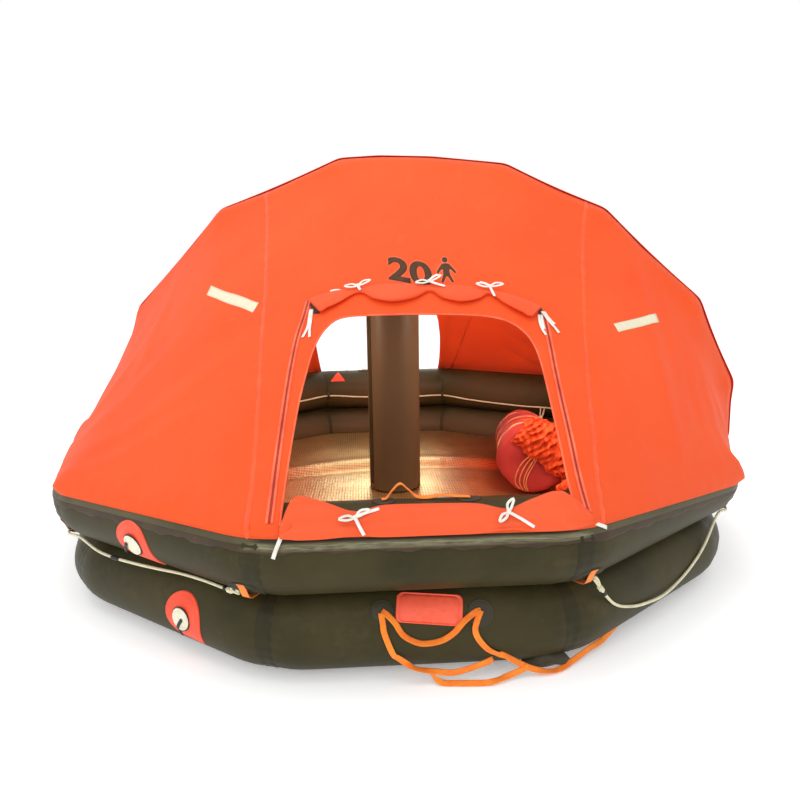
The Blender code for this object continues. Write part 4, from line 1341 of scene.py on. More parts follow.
def tube_patch(name, tube, side, centre, outline, profile=PAD):
    """A pad glued to a tube, its middle and outline in metres along the side and up round it."""
    rings = []
    for share, lift in profile:
        spots = np.array(centre) + outline * share
        angles = np.degrees(spots[:, 1] / TUBE_RADIUS)
        rings.append(on_tube(tube, side_place(tube, side, spots[:, 0]), angles, lift + 0.0005))
    return grid_mesh(name, np.array(rings), False, True)


def teardrop(radius, reach, way):
    """A round outline drawn out to a point this far and this way from its middle."""
    half_open = math.acos(radius / reach)
    turn = np.linspace(way + half_open, way + 2 * math.pi - half_open, 40)
    rim = np.stack([np.cos(turn), np.sin(turn)], axis=1) * radius
    tip = np.array([math.cos(way), math.sin(way)]) * reach
    there = np.linspace(0.12, 0.96, 7)[:, None]
    back = there[::-1]
    return np.concatenate([
        rim, rim[-1] * (1 - there) + tip * there, rim[0] * (1 - back) + tip * back
    ])


def tube_frame(tube, side, along, angle, clear):
    """A place over a tube and the matrix that sets a body there, its x along the side."""
    place = side_place(tube, side, along)
    spot, outwards = over_tube(tube, place, angle, clear)
    run = on_tube(tube, place + 0.01, angle, clear) - spot
    outwards, run = Vector(outwards).normalized(), Vector(run).normalized()
    axes = Matrix((run, outwards.cross(run), outwards)).transposed()
    return Matrix.Translation(Vector(spot)) @ axes.to_4x4()


def stepped_disc(name, radius, steps, vertices=48):
    """A round body built up from its base, each step an inset of the top and a rise."""
    nothing_selected()
    bpy.ops.mesh.primitive_circle_add(vertices=vertices, radius=radius, fill_type="NGON")
    disc = started(name)
    bpy.ops.object.mode_set(mode="EDIT")
    bpy.ops.mesh.select_all(action="SELECT")
    for inset, rise in steps:
        if inset:
            bpy.ops.mesh.inset(thickness=inset, depth=rise)
        else:
            bpy.ops.mesh.extrude_region_move(TRANSFORM_OT_translate={"value": (0, 0, rise)})
    bpy.ops.object.mode_set(mode="OBJECT")
    disc.data.shade_smooth()
    return disc


def moulded(name, colour, worn, rough=0.45):
    """Moulded plastic or rubber with a faint grain and rubbed, dusty places."""
    made = Finish(name, Specular_IOR_Level=0.45)
    where = made.place()
    stain = made.between(made.noise(where, 35.0, 5, 0.65), 0.45, 0.72)
    grain = made.bump(made.noise(where, 900.0, 2), 0.0002, 0.4)
    tint = made.mix(stain * 0.6, colour, worn)
    return made.done(colour=tint, roughness=stain * 0.2 + rough, normal=grain)


patch_cloth = cloth_finish("patch_cloth", (0.96, 0.085, 0.030), (0.80, 0.060, 0.020), 0.0012, 0.5)
valve_plastic = moulded("valve_plastic", (0.80, 0.77, 0.60), (0.62, 0.57, 0.40))
black_rubber = moulded("black_rubber", (0.012, 0.011, 0.009), (0.03, 0.028, 0.022), 0.5)
VALVES = {
    # tube: (metres along side -1, degrees up, middle and size of the patch, its point)
    "upper": (-0.025, -18, (-0.026, -0.048), 0.098, 0.158, -47),
    "lower": (0.174, 0, (0.180, 0.010), 0.100, 0.140, -50),
}
STRAPS = {
    # (metres along side -1, degrees up) of each cap's strap
    "upper": [(-0.045, -14), (-0.070, -24), (-0.100, -38), (-0.125, -52), (-0.120, -66)],
    "lower": [(0.192, 2), (0.172, -6), (0.155, -15), (0.147, -24), (0.140, -33)],
}
VALVE_SIDE = -1
VALVE_STEPS = [
    # (inset, rise) of each step of the disc, from its base to the middle of its cap
    (0, 0.0045), (0.0012, 0.0014), (0.0035, 0.0), (0.0008, -0.0008), (0.0055, 0.0), (0.0012, 0.0022),
    (0.010, 0.0012), (0.010, 0.0006), (0.008, 0.0),
]
STUD_RING = 0.037
for tube, (along, angle, middle, radius, reach, way) in VALVES.items():
    drop = teardrop(radius, reach, math.radians(way))
    finished(tube_patch(f"{tube}_valve_patch", tube, VALVE_SIDE, middle, drop), patch_cloth, "webbing")
    spot = tube_frame(tube, VALVE_SIDE, along, angle, 0.003)
    # Painted shade: a black ring wider than the disc stands for the shade round the disc's edge.
    rim = stepped_disc(f"{tube}_valve_shade_ring", 0.0500, [(0, 0.0022), (0.0016, 0.0008), (0.006, 0.0)])
    rim.data.transform(spot)
    finished(rim, black_rubber, "valve_plastic")
    discs = [stepped_disc(f"{tube}_valve_disc", 0.0455, VALVE_STEPS)]
    for turn in full_turn(6) + 0.3:
        stud = stepped_disc("stud", 0.0026, [(0, 0.0016), (0.0006, 0.0004)], 10)
        place = (STUD_RING * math.cos(turn), STUD_RING * math.sin(turn), 0.0050)
        stud.data.transform(Matrix.Translation(place))
        discs.append(stud)
    body = joined(f"{tube}_valve_body", discs)
    body.data.transform(spot)
    finished(body, valve_plastic, "valve_plastic", f"{tube}_tube_valve")
    route = spline(STRAPS[tube], 24)
    place = side_place(tube, VALVE_SIDE, route[:, 0])
    lift = np.interp(np.arange(24), [0, 9, 14, 23], [0.0145, 0.0135, 0.006, 0.004])
    line, out = over_tube(tube, place, route[:, 1], lift)
    keeper = ribbon(f"{tube}_valve_strap", line, out, 0.013, 0.002, 3, 0.0008)
    finished(keeper, black_rubber, "tube_rubber")


# Boarding sign
# A rounded plate of orange-red cloth-backed plastic is glued to the lower tube below each doorway.
# Its raised border is a little paler, and its face is blank.
def rounded(wide, high, corner, lean=0.0, steps=8):
    """The outline of a rectangle with round corners, by half its sides, leaning by this angle."""
    spots = []
    for quarter, (x, y) in enumerate(((1, 1), (-1, 1), (-1, -1), (1, -1))):
        turn = np.linspace(quarter, quarter + 1, steps) * math.pi / 2
        spots.append(np.stack([
            x * (wide - corner) + corner * np.cos(turn), y * (high - corner) + corner * np.sin(turn)
        ], axis=1))
    spots = np.concatenate(spots)
    turned = np.array([[math.cos(lean), math.sin(lean)], [-math.sin(lean), math.cos(lean)]])
    filled = []
    for start, end in zip(spots, np.roll(spots, -1, axis=0)):
        parts = max(1, int(np.linalg.norm(end - start) / 0.012))
        filled += [start + (end - start) * part / parts for part in range(parts)]
    return np.array(filled) @ turned


sign_plastic = moulded("sign_plastic", (1.0, 0.125, 0.060), (0.88, 0.085, 0.035), 0.42)
SIGN = [
    # (share of the outline, height over the tube)
    (0.004, 0.0036), (0.35, 0.0036), (0.70, 0.0036), (0.86, 0.0036), (0.875, 0.0020), (0.895, 0.0020),
    (0.91, 0.0058), (0.94, 0.0066), (0.97, 0.0062), (0.99, 0.0038), (1.0, -0.0005),
]
for half in HALVES:
    plate = rounded(0.122, 0.056, 0.020, math.radians(-6))
    sign = tube_patch(f"{half}_sign_plate", "lower", 0, (0.036, 0.119), plate, SIGN)
    dressed(half, sign, sign_plastic, "webbing", f"{half}_boarding_sign")


# Boarding webbing
# Orange webbing hangs below the sign from two round rubber patches: a handle, and a loop to stand
# in. The loop is long, and it lies partly on the ground.
def woven_webbing(name, colour, deep):
    """Flat webbing: fine ribs across it and a selvedge line, with dirt."""
    made = Finish(name, Sheen_Weight=0.15, Specular_IOR_Level=0.3)
    where, laid = made.place(), made.laid()
    ribs = made.wave(made.part(laid, 1) * (math.pi / 0.0012)) * 0.5 + 0.5
    rows = made.wave(made.part(laid, 0) * (math.pi / 0.0035)) * 0.5 + 0.5
    stain = made.between(made.noise(where, 18.0, 5, 0.65), 0.42, 0.72)
    tint = made.mix(stain * 0.8, colour, deep)
    tint = made.mix(rows * 0.15, tint, deep)
    relief = made.bump(ribs + rows, 0.0004, 0.5)
    return made.done(colour=tint, roughness=stain * 0.15 + 0.55, normal=relief)


webbing = woven_webbing("orange_webbing", (0.97, 0.270, 0.016), (0.85, 0.130, 0.012))
WEB_WIDE, WEB_THICK, WEB_CLEAR = 0.022, 0.0018, 0.0065
HANDLE = [
    # (metres along the front side, degrees up round the lower tube)
    (-0.138, 40), (-0.118, 35), (-0.092, 25.5), (-0.064, 11.8), (-0.018, 3.3), (0.022, 1.3),
    (0.076, 4.4), (0.120, 12.6), (0.158, 24.3), (0.200, 34), (0.222, 36),
]
# its height over the tube, and how far its face leans up
HANDLE_CLEAR = [0.005, 0.006, 0.010, 0.014, 0.018, 0.018, 0.018, 0.015, 0.010, 0.006, 0.005]
HANDLE_LEAN = [0, 0.2, 0.9, 1.4, 1.6, 1.6, 1.5, 1.0, 0.5, 0.1, 0]
LEFT_STRAP = [(-0.141, 38), (-0.136, 26), (-0.132, 15.4), (-0.115, -1.8), (-0.098, -16.3)]
RIGHT_STRAP = [(0.222, 36), (0.205, 24), (0.197, 12.7), (0.211, 0.7), (0.245, -13.6), (0.280, -22)]
LEFT_LOW = [
    # (place, direction of its outer face) where the webbing hangs free
    (-0.080, -1.797, 0.106, -0.3, -0.9, 0.2), (-0.041, -1.802, 0.078, -0.5, -0.3, 0.8),
    (-0.012, -1.802, 0.062, -0.3, -0.2, 0.9), (0.050, -1.802, 0.051, -0.1, -0.6, 0.8),
    (0.112, -1.802, 0.043, 0, -0.9, 0.4), (0.167, -1.800, 0.052, 0, -1.0, 0.2),
    (0.225, -1.790, 0.064, 0, -1, 0.2), (0.268, -1.775, 0.072, 0, -0.9, 0.4),
]
FLOOR_LOOP = [
    (0.036, -1.803, 0.047, -0.7, -0.5, 0.3), (0.052, -1.806, 0.026, -0.8, -0.5, 0.4),
    (0.078, -1.812, 0.010, -0.1, -0.7, 0.9), (0.120, -1.816, 0.009, 0, -0.7, 0.8),
    (0.180, -1.822, 0.010, 0, -0.8, 0.7), (0.238, -1.826, 0.012, 0, -0.9, 0.5),
    (0.283, -1.818, 0.016, 0, -0.3, 1.0), (0.330, -1.800, 0.022, 0, -0.8, 0.6),
    (0.372, -1.792, 0.034, 0, -1, 0.3), (0.398, -1.788, 0.046, 0, -0.9, 0.3),
]
RIGHT_LOW = [
    (0.306, -1.786, 0.092, 0.2, -0.8, 0.7), (0.341, -1.788, 0.071, 0.2, -0.8, 0.6),
    (0.392, -1.786, 0.041, 0.2, -0.9, 0.4), (0.428, -1.785, 0.026, 0.3, -0.8, 0.6),
    (0.470, -1.783, 0.016, 0, -0.3, 1), (0.520, -1.770, 0.013, 0, -0.3, 1),
    (0.575, -1.735, 0.018, 0.2, -0.7, 0.8), (0.628, -1.700, 0.026, 0.4, -0.8, 0.4),
    (0.672, -1.672, 0.034, 0.5, -0.8, 0.4), (0.722, -1.640, 0.036, 0.5, -0.5, 0.8),
    (0.772, -1.605, 0.052, 0.5, -0.8, 0.3), (0.812, -1.580, 0.072, 0.5, -0.8, 0.2),
]
LOOSE_END = [
    (0.835, -1.565, 0.098, 0.5, -0.8, 0.3), (0.862, -1.548, 0.108, 0.4, -0.8, 0.5),
    (0.900, -1.532, 0.116, 0.4, -0.7, 0.6),
]


def tube_rows(tube, side, places, clear):
    """Rows of place and outward direction over a tube, for a strap."""
    along, angle = np.array(places, float).T
    spots, out = over_tube(tube, side_place(tube, side, along), angle, clear)
    return np.concatenate([spots, out * 10], axis=1)


def strap(rows, width=WEB_WIDE, count=90):
    """Webbing through rows of a place and the direction of its outer face there."""
    laid = spline(np.asarray(rows) * (1, 1, 1, 0.05, 0.05, 0.05), count)
    return ribbon("strap", laid[:, :3], laid[:, 3:], width, WEB_THICK, 5)


base_rubber = rubber("patch_rubber", (0.030, 0.027, 0.017), (0.055, 0.048, 0.030), (0.14, 0.12, 0.085))
for half in HALVES:
    handle = tube_rows("lower", 0, HANDLE, HANDLE_CLEAR)
    handle[:, 5] += HANDLE_LEAN
    left = np.concatenate([tube_rows("lower", 0, LEFT_STRAP, WEB_CLEAR), LEFT_LOW])
    right = np.concatenate([tube_rows("lower", 0, RIGHT_STRAP, WEB_CLEAR), RIGHT_LOW])
    straps = [strap(handle), strap(left), strap(FLOOR_LOOP), strap(right, count=140), strap(LOOSE_END)]
    ladder = joined(f"{half}_boarding_webbing", straps)
    dressed(half, ladder, webbing, "webbing", f"{half}_boarding_ladder")
    pads = [
        tube_patch("pad", "lower", 0, (-0.137, 0.115), oval(0.042, 0.042)),
        tube_patch("pad", "lower", 0, (0.222, 0.095), oval(0.048, 0.050)),
    ]
    dressed(half, joined(f"{half}_webbing_patches", pads), base_rubber, "tube_rubber")


# Grab lines
# A cream rope hangs in shallow loops round each side of the upper tube. It passes through orange
# webbing tabs at the corners, and it ends in knots beside black rubber sleeves.
def rope_finish(name, colour, deep):
    made = Finish(name, Sheen_Weight=0.1, Specular_IOR_Level=0.3)
    along, across = made.part(made.laid(), 0), made.part(made.laid(), 1)
    strand = made.wave(along * (2 * math.pi / 0.016) + across * (2 * math.pi / 0.0126))
    stain = made.between(made.noise(made.place(), 25.0, 5, 0.6), 0.40, 0.72)
    tint = made.mix(stain * 0.7, colour, deep)
    twist = made.bump(strand, 0.0012, 0.7)
    return made.done(colour=tint, roughness=stain * 0.15 + 0.6, normal=twist)


rope_cream = rope_finish("rope_cream", (0.80, 0.75, 0.52), (0.55, 0.48, 0.28))
ROPE_RADIUS = 0.006
UPPER_OUT, UPPER_UP = TUBES["upper"]
GRAB_CLEAR, GRAB_ANGLE = 0.0046 + ROPE_RADIUS, math.radians(-54)
GRAB_OUT = UPPER_OUT + (TUBE_RADIUS + GRAB_CLEAR) * math.cos(GRAB_ANGLE)
GRAB_UP = UPPER_UP + (TUBE_RADIUS + GRAB_CLEAR) * math.sin(GRAB_ANGLE)
GRAB_SAG, TAB_FROM_CORNER, TAB_PATCH_UP = 0.075, 0.085, math.radians(-52) * TUBE_RADIUS
GRAB_HELD = GRAB_OUT * HALF_SIDE - TAB_FROM_CORNER
TAB = [
    # (degrees up round the upper tube, height over it) down each tab, with room for the rope
    (-30, 0.0035), (-40, 0.005), (-46, 0.012), (-54, 0.0195), (-62, 0.013), (-68, 0.005), (-76, 0.003),
]
TAB_PLACES = [(1, -1), (2, -1), (3, -1), (4, -1), (4, 1)]
FIRST_SPAN = {
    # (inwards, down) of the first length of each line: deep on the right, tucked in on the left
    1: [(0, 0), (-0.010, 0.138), (-0.018, 0.193), (-0.018, 0.220), (-0.018, 0.231), (-0.018, 0.210),
        (-0.016, 0.170), (-0.008, 0.111), (0, 0)],
    -1: [(0, 0), (0.030, 0.022), (0.045, 0.032), (0.040, 0.034), (0.012, 0.030), (0, 0.033), (0, 0.040),
         (0, 0.035), (0, 0)],
}


def grab_route(mirror):
    """The rope's route round one side: a span on each of four sides and a tab at each corner."""
    spots = []
    for side in (36, 72, 108, 144):
        for step in range(-4, 5):
            share = step / 4
            inwards, down = 0, GRAB_SAG * (1 - share ** 2)
            if side == 36:
                inwards, down = FIRST_SPAN[mirror][step + 4]
            level = out_way(side) * (GRAB_OUT - inwards) + side_way(side) * GRAB_HELD * share
            spots.append(level + UP * (GRAB_UP - down))
        if side != 144:
            spots.append(out_way(side + 18) * GRAB_OUT / math.cos(math.radians(18)) + UP * GRAB_UP)
    return np.array(spots) * (mirror, 1, 1)


def lashing(line, at, turns, radius, thread):
    """Turns of thread round a rope, from this far along it."""
    where = np.linspace(at, at + turns * thread * 2.1, turns * 10 + 1)
    spots = at_lengths(line, where)
    course = unit(np.gradient(spots, axis=0))
    one = unit(np.cross(course, UP))
    two = np.cross(course, one)
    turn = np.linspace(0, turns * 2 * math.pi, len(spots))[:, None]
    return sweep("lashing", spots + (one * np.cos(turn) + two * np.sin(turn)) * radius, thread, 8)


def sleeve(line, at, length, radius):
    """A rubber sleeve over part of a rope."""
    swell = radius * np.array([0.80, 0.97, 1, 1, 1, 1, 1, 0.97, 0.80])
    return sweep("sleeve", at_lengths(line, np.linspace(at, at + length, len(swell))), swell, 16)


for hand, mirror in (("right", 1), ("left", -1)):
    route = spline(grab_route(mirror), 230)
    rope = sweep(f"grab_line_{hand}_rope", route, ROPE_RADIUS, 12)
    finished(rope, rope_cream, "cord", f"grab_line_{hand}")
    knots, sleeves = [], []
    for line in (route, route[::-1]):
        knots.append(lashing(line, 0.055, 3, 0.0072, 0.0042))
        twin = at_lengths(line, np.linspace(0, 0.062, 9))
        twin[:, 2] += 0.014 * np.sin(np.linspace(0, math.pi, 9)) ** 0.6 + 0.003
        knots.append(sweep("bight", twin, 0.0050, 10))
        sleeves.append(sleeve(line, 0.092, 0.022, 0.0085))
    if hand == "left":
        sleeves.append(sleeve(route, 0.72, 0.055, 0.0100))
    knots = finished(joined(f"grab_line_{hand}_knots", knots), rope_cream, "cord")
    sleeves = finished(joined(f"grab_line_{hand}_sleeves", sleeves), black_rubber, "cord")
    round(lengths_along(route)[-1], 3)
    pads = []
    for number, (side, sign) in enumerate(TAB_PLACES, 1):
        along = sign * ((UPPER_OUT + TUBE_RADIUS) * HALF_SIDE - TAB_FROM_CORNER)
        angles, lifts = np.array(TAB).T
        places = np.stack([np.full(len(TAB), along), angles], axis=1)
        tab = strap(tube_rows("upper", side, places, lifts), 0.032, 40)
        pad = tube_patch("pad", "upper", side, (along, TAB_PATCH_UP), oval(0.052, 0.066))
        for piece in (tab, pad):
            if mirror < 0:
                piece.data.transform(Matrix.Diagonal((-1, 1, 1, 1)))
                piece.data.flip_normals()
        tab.name = tab.data.name = f"grab_tab_{hand}_{number}_webbing"
        finished(tab, webbing, "webbing", f"grab_tab_{hand}_{number}")
        pads.append(pad)
    finished(joined(f"grab_tab_{hand}_patches", pads), base_rubber, "tube_rubber")


# Inner grab line
# The same rope runs round the inside of the upper tube through small loops of rubbered cloth. Beside
# the equipment bag it has a bight with a knot and a pale toggle.
INNER_OUT, INNER_UP, INNER_SAG = UPPER_OUT - TUBE_RADIUS - 0.0006 - ROPE_RADIUS, 0.470, 0.012
LINE_DROP = {3: 0.018, 4: 0.042, 5: 0.020}
LOOP = [
    # (outwards, up) from the rope, and how far the outer face looks up there
    (0.011, 0.030, 0.1), (-0.004, 0.016, 0.5), (-0.009, 0.0, 0), (-0.004, -0.014, -0.5),
    (0.008, -0.026, -0.1),
]
BIGHT_SIDE, BIGHT_HIGH = 126, 0.004
BIGHT = [
    # (inwards, down, along the side) from the rope
    (0.010, 0.002, 0.020), (0.020, 0.030, 0.014), (0.030, 0.068, 0.008), (0.032, 0.084, -0.004),
    (0.024, 0.060, -0.012), (0.008, 0.002, -0.016),
]


def inside_corner(corner):
    """Where the line passes a mitre of the tube; the bight's weight draws it lower beside the bag."""
    up = INNER_UP - LINE_DROP.get(corner, 0)
    bulge = math.sqrt(TUBE_RADIUS ** 2 - (up - UPPER_UP) ** 2)
    out = 0.998 * (INNER_OUT + TUBE_RADIUS - bulge) / math.cos(math.radians(18))
    return out_way(36 * corner - 18) * out + UP * up


spots = []
for corner in range(2, 13):
    spots.append(inside_corner(corner))
    if corner < 12:
        for step in (0.25, 0.5, 0.75):
            level = inside_corner(corner) * (1 - step) + inside_corner(corner + 1) * step
            sag = 4 * INNER_SAG * step * (1 - step)
            spots.append(level - out_way(36 * corner) * 0.002 - UP * sag)
route = spline(spots, 320)
inner = sweep("inner_grab_line_rope", route, ROPE_RADIUS, 10)
finished(inner, rope_cream, "cord", "inner_grab_line")
loops = []
for corner in range(1, 11):
    outwards, foot = out_way(36 * corner + 18), inside_corner(corner + 1)
    rows = [(*(foot + outwards * out + UP * up), *(UP * tip - outwards)) for out, up, tip in LOOP]
    loops.append(strap(rows, 0.020, 26))
finished(joined("inner_line_loops", loops), base_rubber, "tube_rubber")
corner_spot = inside_corner(4) * 0.92 + inside_corner(5) * 0.08 + UP * BIGHT_HIGH
step_in = -out_way(BIGHT_SIDE)
bight = [
    corner_spot + step_in * inwards - UP * down + side_way(BIGHT_SIDE) * across
    for inwards, down, across in BIGHT
]
tail_line = spline(bight, 40)
knot_bits = [sweep("bight", tail_line, 0.0055, 8), lashing(tail_line, 0.080, 3, 0.009, 0.0045)]
bight_piece = finished(joined("inner_line_bight", knot_bits), rope_cream, "cord")
toggle_steps = spline([(-0.014, 0, 0.012), (-0.018, 0, -0.006), (-0.020, 0, -0.026)], 12)
toggle_radius = 0.014 * np.sin(np.linspace(0.25, math.pi - 0.25, 12)) ** 0.5
toggle_line = tail_line[18] + step_in * 0.016 + toggle_steps
toggle = sweep("inner_line_toggle", toggle_line, toggle_radius, 14)
finished(toggle, valve_plastic, "valve_plastic")
round(lengths_along(route)[-1], 3)


# Doorway grip
# A length of orange webbing lies on the tube inside each doorway, to pull oneself in by. Two oval
# rubber patches hold its ends, and it stands up in a fold at one of them.
GRIP = [
    # (place, direction of its outer face)
    (-0.128, -1.672, 0.6665, 0, 0, 1), (-0.110, -1.670, 0.6700, -0.5, 0, 1),
    (-0.088, -1.668, 0.698, -1, 0, 0.4), (-0.060, -1.668, 0.722, 0, 0, 1),
    (-0.032, -1.668, 0.700, 1, 0, 0.5), (0.000, -1.668, 0.672, 0.4, -0.2, 1),
    (0.045, -1.668, 0.668, 0, -0.2, 1), (0.090, -1.669, 0.6745, 0, 0, 1), (0.140, -1.670, 0.670, 0, -0.1, 1),
    (0.196, -1.672, 0.6665, 0, 0, 1),
]
GRIP_PATCH_UP = math.radians(93) * TUBE_RADIUS
for half in HALVES:
    grip = joined(f"{half}_grip_webbing", [strap(GRIP, 0.024, 110)])
    dressed(half, grip, webbing, "webbing", f"{half}_doorway_grip")
    pads = [
        tube_patch("pad", "upper", 0, (x, GRIP_PATCH_UP), oval(0.045, 0.036)) for x in (-0.120, 0.190)
    ]
    dressed(half, joined(f"{half}_grip_patches", pads), base_rubber, "tube_rubber")


# Equipment bag
# A fat rolled bag of dark red cloth lies on the floor at the right. Its end is gathered, thin
# cords lash it, and a crumpled sheet of orange cloth lies over it.
BAG_AXIS = np.array([0.309, 0.951, 0.0])
BAG_SIDE = np.array([0.951, -0.309, 0.0])
BAG_MIDDLE, BAG_RADIUS, BAG_HALF = np.array([0.912, 0.052, 0.380]), 0.214, 0.345
BAG_TAPER, BAG_DRIFT = 0.06, 0.055
BAG_NARROW, BAG_REST = 0.97, 0.1665
BUNDLE_PLACE, BUNDLE_HALF = np.array([0.985, -0.405, 0.228]), np.array([0.060, 0.050, 0.064])
BAG_ENDS = [
    # (place along the bag as a share of its half length, share of its radius)
    (-0.955, 0.004), (-0.958, 0.16), (-0.975, 0.34), (-0.995, 0.56), (-1.0, 0.76), (-0.985, 0.91),
    (-0.93, 0.98), (-0.86, 1.0),
]
BAG_CORDS = [
    # (place along, lean, drift) of each cord round the bag
    (-0.66, 0.05, 0.00), (-0.62, -0.06, 0.02), (-0.585, 0.09, -0.01), (0.05, 0.03, 0.0), (0.64, -0.04, 0.0),
]


def on_bag(along, turn, reach):
    """A place by share of the half length, angle from its right side upwards and share of radius."""
    along, turn, reach = np.broadcast_arrays(along, turn, reach)
    round_way = BAG_SIDE * BAG_NARROW * np.cos(turn)[..., None] + UP * np.sin(turn)[..., None]
    size = BAG_RADIUS * (1 - BAG_TAPER * (along + 1))
    spots = BAG_MIDDLE + BAG_AXIS * (along * BAG_HALF)[..., None]
    spots = spots - BAG_SIDE * (BAG_DRIFT * (along + 1))[..., None] + round_way * (reach * size)[..., None]
    spots[..., 2] += size - BAG_RADIUS
    spots[..., 2] = np.maximum(spots[..., 2], BAG_REST)
    return spots


def welded(obj, reach):
    """Merges what lies together at the poles or edges of a piece."""
    weld = obj.modifiers.new("weld", "WELD")
    weld.merge_threshold = reach
    apply_all(obj)


bag_turn = full_turn(120)
bag_body = [(x, 1.0) for x in np.linspace(-0.78, 0.78, 40)]
bag_profile = np.array(BAG_ENDS + bag_body + [(-x, share) for x, share in reversed(BAG_ENDS)])
bag_along, bag_share = bag_profile[:, :1], bag_profile[:, 1:]
near_end = bell(np.abs(bag_along), 0.98, 0.05)
waist = sum(bell(bag_along, x, 0.05) for x in (-0.62, 0.05, 0.66))
ripple = 1 - 0.040 * waist + 0.022 * np.sin(bag_turn * 5 + bag_along * 6) * np.sin(bag_along * 9)
ripple = ripple + 0.018 * np.sin(bag_turn * 13 - bag_along * 17) * (0.3 + waist)
ripple = ripple + 0.006 * near_end * np.sin(bag_turn * 21)
along = bag_along - np.sign(bag_along) * 0.006 * near_end * np.cos(bag_turn * 5 + 1)
bag_skin = on_bag(along, bag_turn[None], bag_share * ripple)
bag = grid_mesh("equipment_bag_cloth", bag_skin, False, True)
bag.data.flip_normals()
bag_cloth = fabric("bag_cloth", (0.70, 0.070, 0.060), (0.42, 0.032, 0.028), (0.86, 0.17, 0.11), 0.0016)
finished(bag, bag_cloth, "bag_fabric", "equipment_bag")
lines_of_cord = []
turn = np.linspace(0, 2 * math.pi, 97)
for start, lean, drift in BAG_CORDS:
    along = start + lean * np.cos(turn + 4 * drift) + drift * np.sin(3 * turn)
    spots = on_bag(along, turn, 0.992 + 0.012 * np.cos(9 * turn))
    lines_of_cord.append(sweep("cord", spots, 0.0028, 8))
for spread in (0.0, 0.07, 0.20, 0.33):
    face = spline([
        (0.24 - 0.3 * spread, 0.30), (0.06 - spread, -0.05), (-0.12 - spread, -0.40),
        (-0.17 - 0.9 * spread, -0.68), (-0.10 - 0.7 * spread, -0.92 + 0.2 * spread),
    ], 30)
    spots = on_bag(
        -1.03 - 0.04 * np.sin(np.linspace(0, math.pi, 30)), np.arctan2(face[:, 1], face[:, 0]),
        np.hypot(face[:, 0], face[:, 1]),
    )
    lines_of_cord.append(sweep("cord", spots, 0.0034, 8))
bag_cord = rope_finish("bag_cord", (0.82, 0.34, 0.12), (0.60, 0.18, 0.06))
finished(joined("equipment_bag_lashings", lines_of_cord), bag_cord, "cord")
along_edge, down = np.meshgrid(np.linspace(-0.80, 0.95, 110), np.linspace(0, 1, 70), indexing="ij")
on_face = (down / 0.62).clip(0, 1)
rim = np.sqrt(1 - along_edge ** 2)
low_edge = 0.05 + 0.05 * np.sin(along_edge * 9) + 0.025 * np.sin(along_edge * 23)
away = low_edge * (1 - on_face) + rim * 1.10 * on_face
cover_a = 0.805 * along_edge + 0.593 * away
cover_b = -0.593 * along_edge + 0.805 * away
crumple = 0.050 * np.sin(along_edge * 15 + 3 * np.sin(down * 7))
crumple = crumple * np.sin(down * 17 + 2 * np.sin(along_edge * 6))
crumple += 0.026 * np.sin(along_edge * 34 - down * 21) + 0.018 * np.sin(down * 43 + along_edge * 27)
from_ends = np.minimum((along_edge + 0.85) / 0.2, (1 - along_edge) / 0.2)
edge_share = np.minimum(from_ends, down / 0.08).clip(0, 1)
cover_along = -1.06 - 0.10 * np.sin(on_face * math.pi) * edge_share - crumple * edge_share
cover_along = cover_along + (down - 0.62).clip(0, 1) / 0.38 * 0.34
cover_reach = np.hypot(cover_a, cover_b) * (1.01 + (0.6 * crumple + 0.050) * (on_face >= 1))
cover_turn = np.unwrap(np.arctan2(cover_b, cover_a), axis=0)
cover_points = on_bag(cover_along, cover_turn, cover_reach)
cover = grid_mesh("bag_cover_cloth", cover_points)
wall(cover, 0.002, -1.0)
cover_cloth = fabric("bag_cover", (1.0, 0.130, 0.024), (0.72, 0.065, 0.012), (1.0, 0.24, 0.06), 0.0014)
finished(cover, cover_cloth, "bag_fabric")
down, round_it = np.meshgrid(np.linspace(0, math.pi, 33), full_turn(48), indexing="ij")
lumps = 0.16 * np.sin(3 * round_it + 4 * down) * np.sin(down) + 0.10 * np.sin(7 * round_it - 5 * down)
ball = np.stack([np.sin(down) * np.cos(round_it), np.sin(down) * np.sin(round_it), np.cos(down)], axis=-1)
bundle = BUNDLE_PLACE + ball * BUNDLE_HALF * (1 + lumps * np.sin(down))[..., None]
bundle[..., 2] = np.maximum(bundle[..., 2], BAG_REST)
bundle[0], bundle[-1] = bundle[0].mean(axis=0), bundle[-1].mean(axis=0)
cover_end = grid_mesh("bag_cover_end", bundle[:, ::-1], False, True)
welded(cover_end, 0.0002)
finished(cover_end, cover_cloth, "bag_fabric")


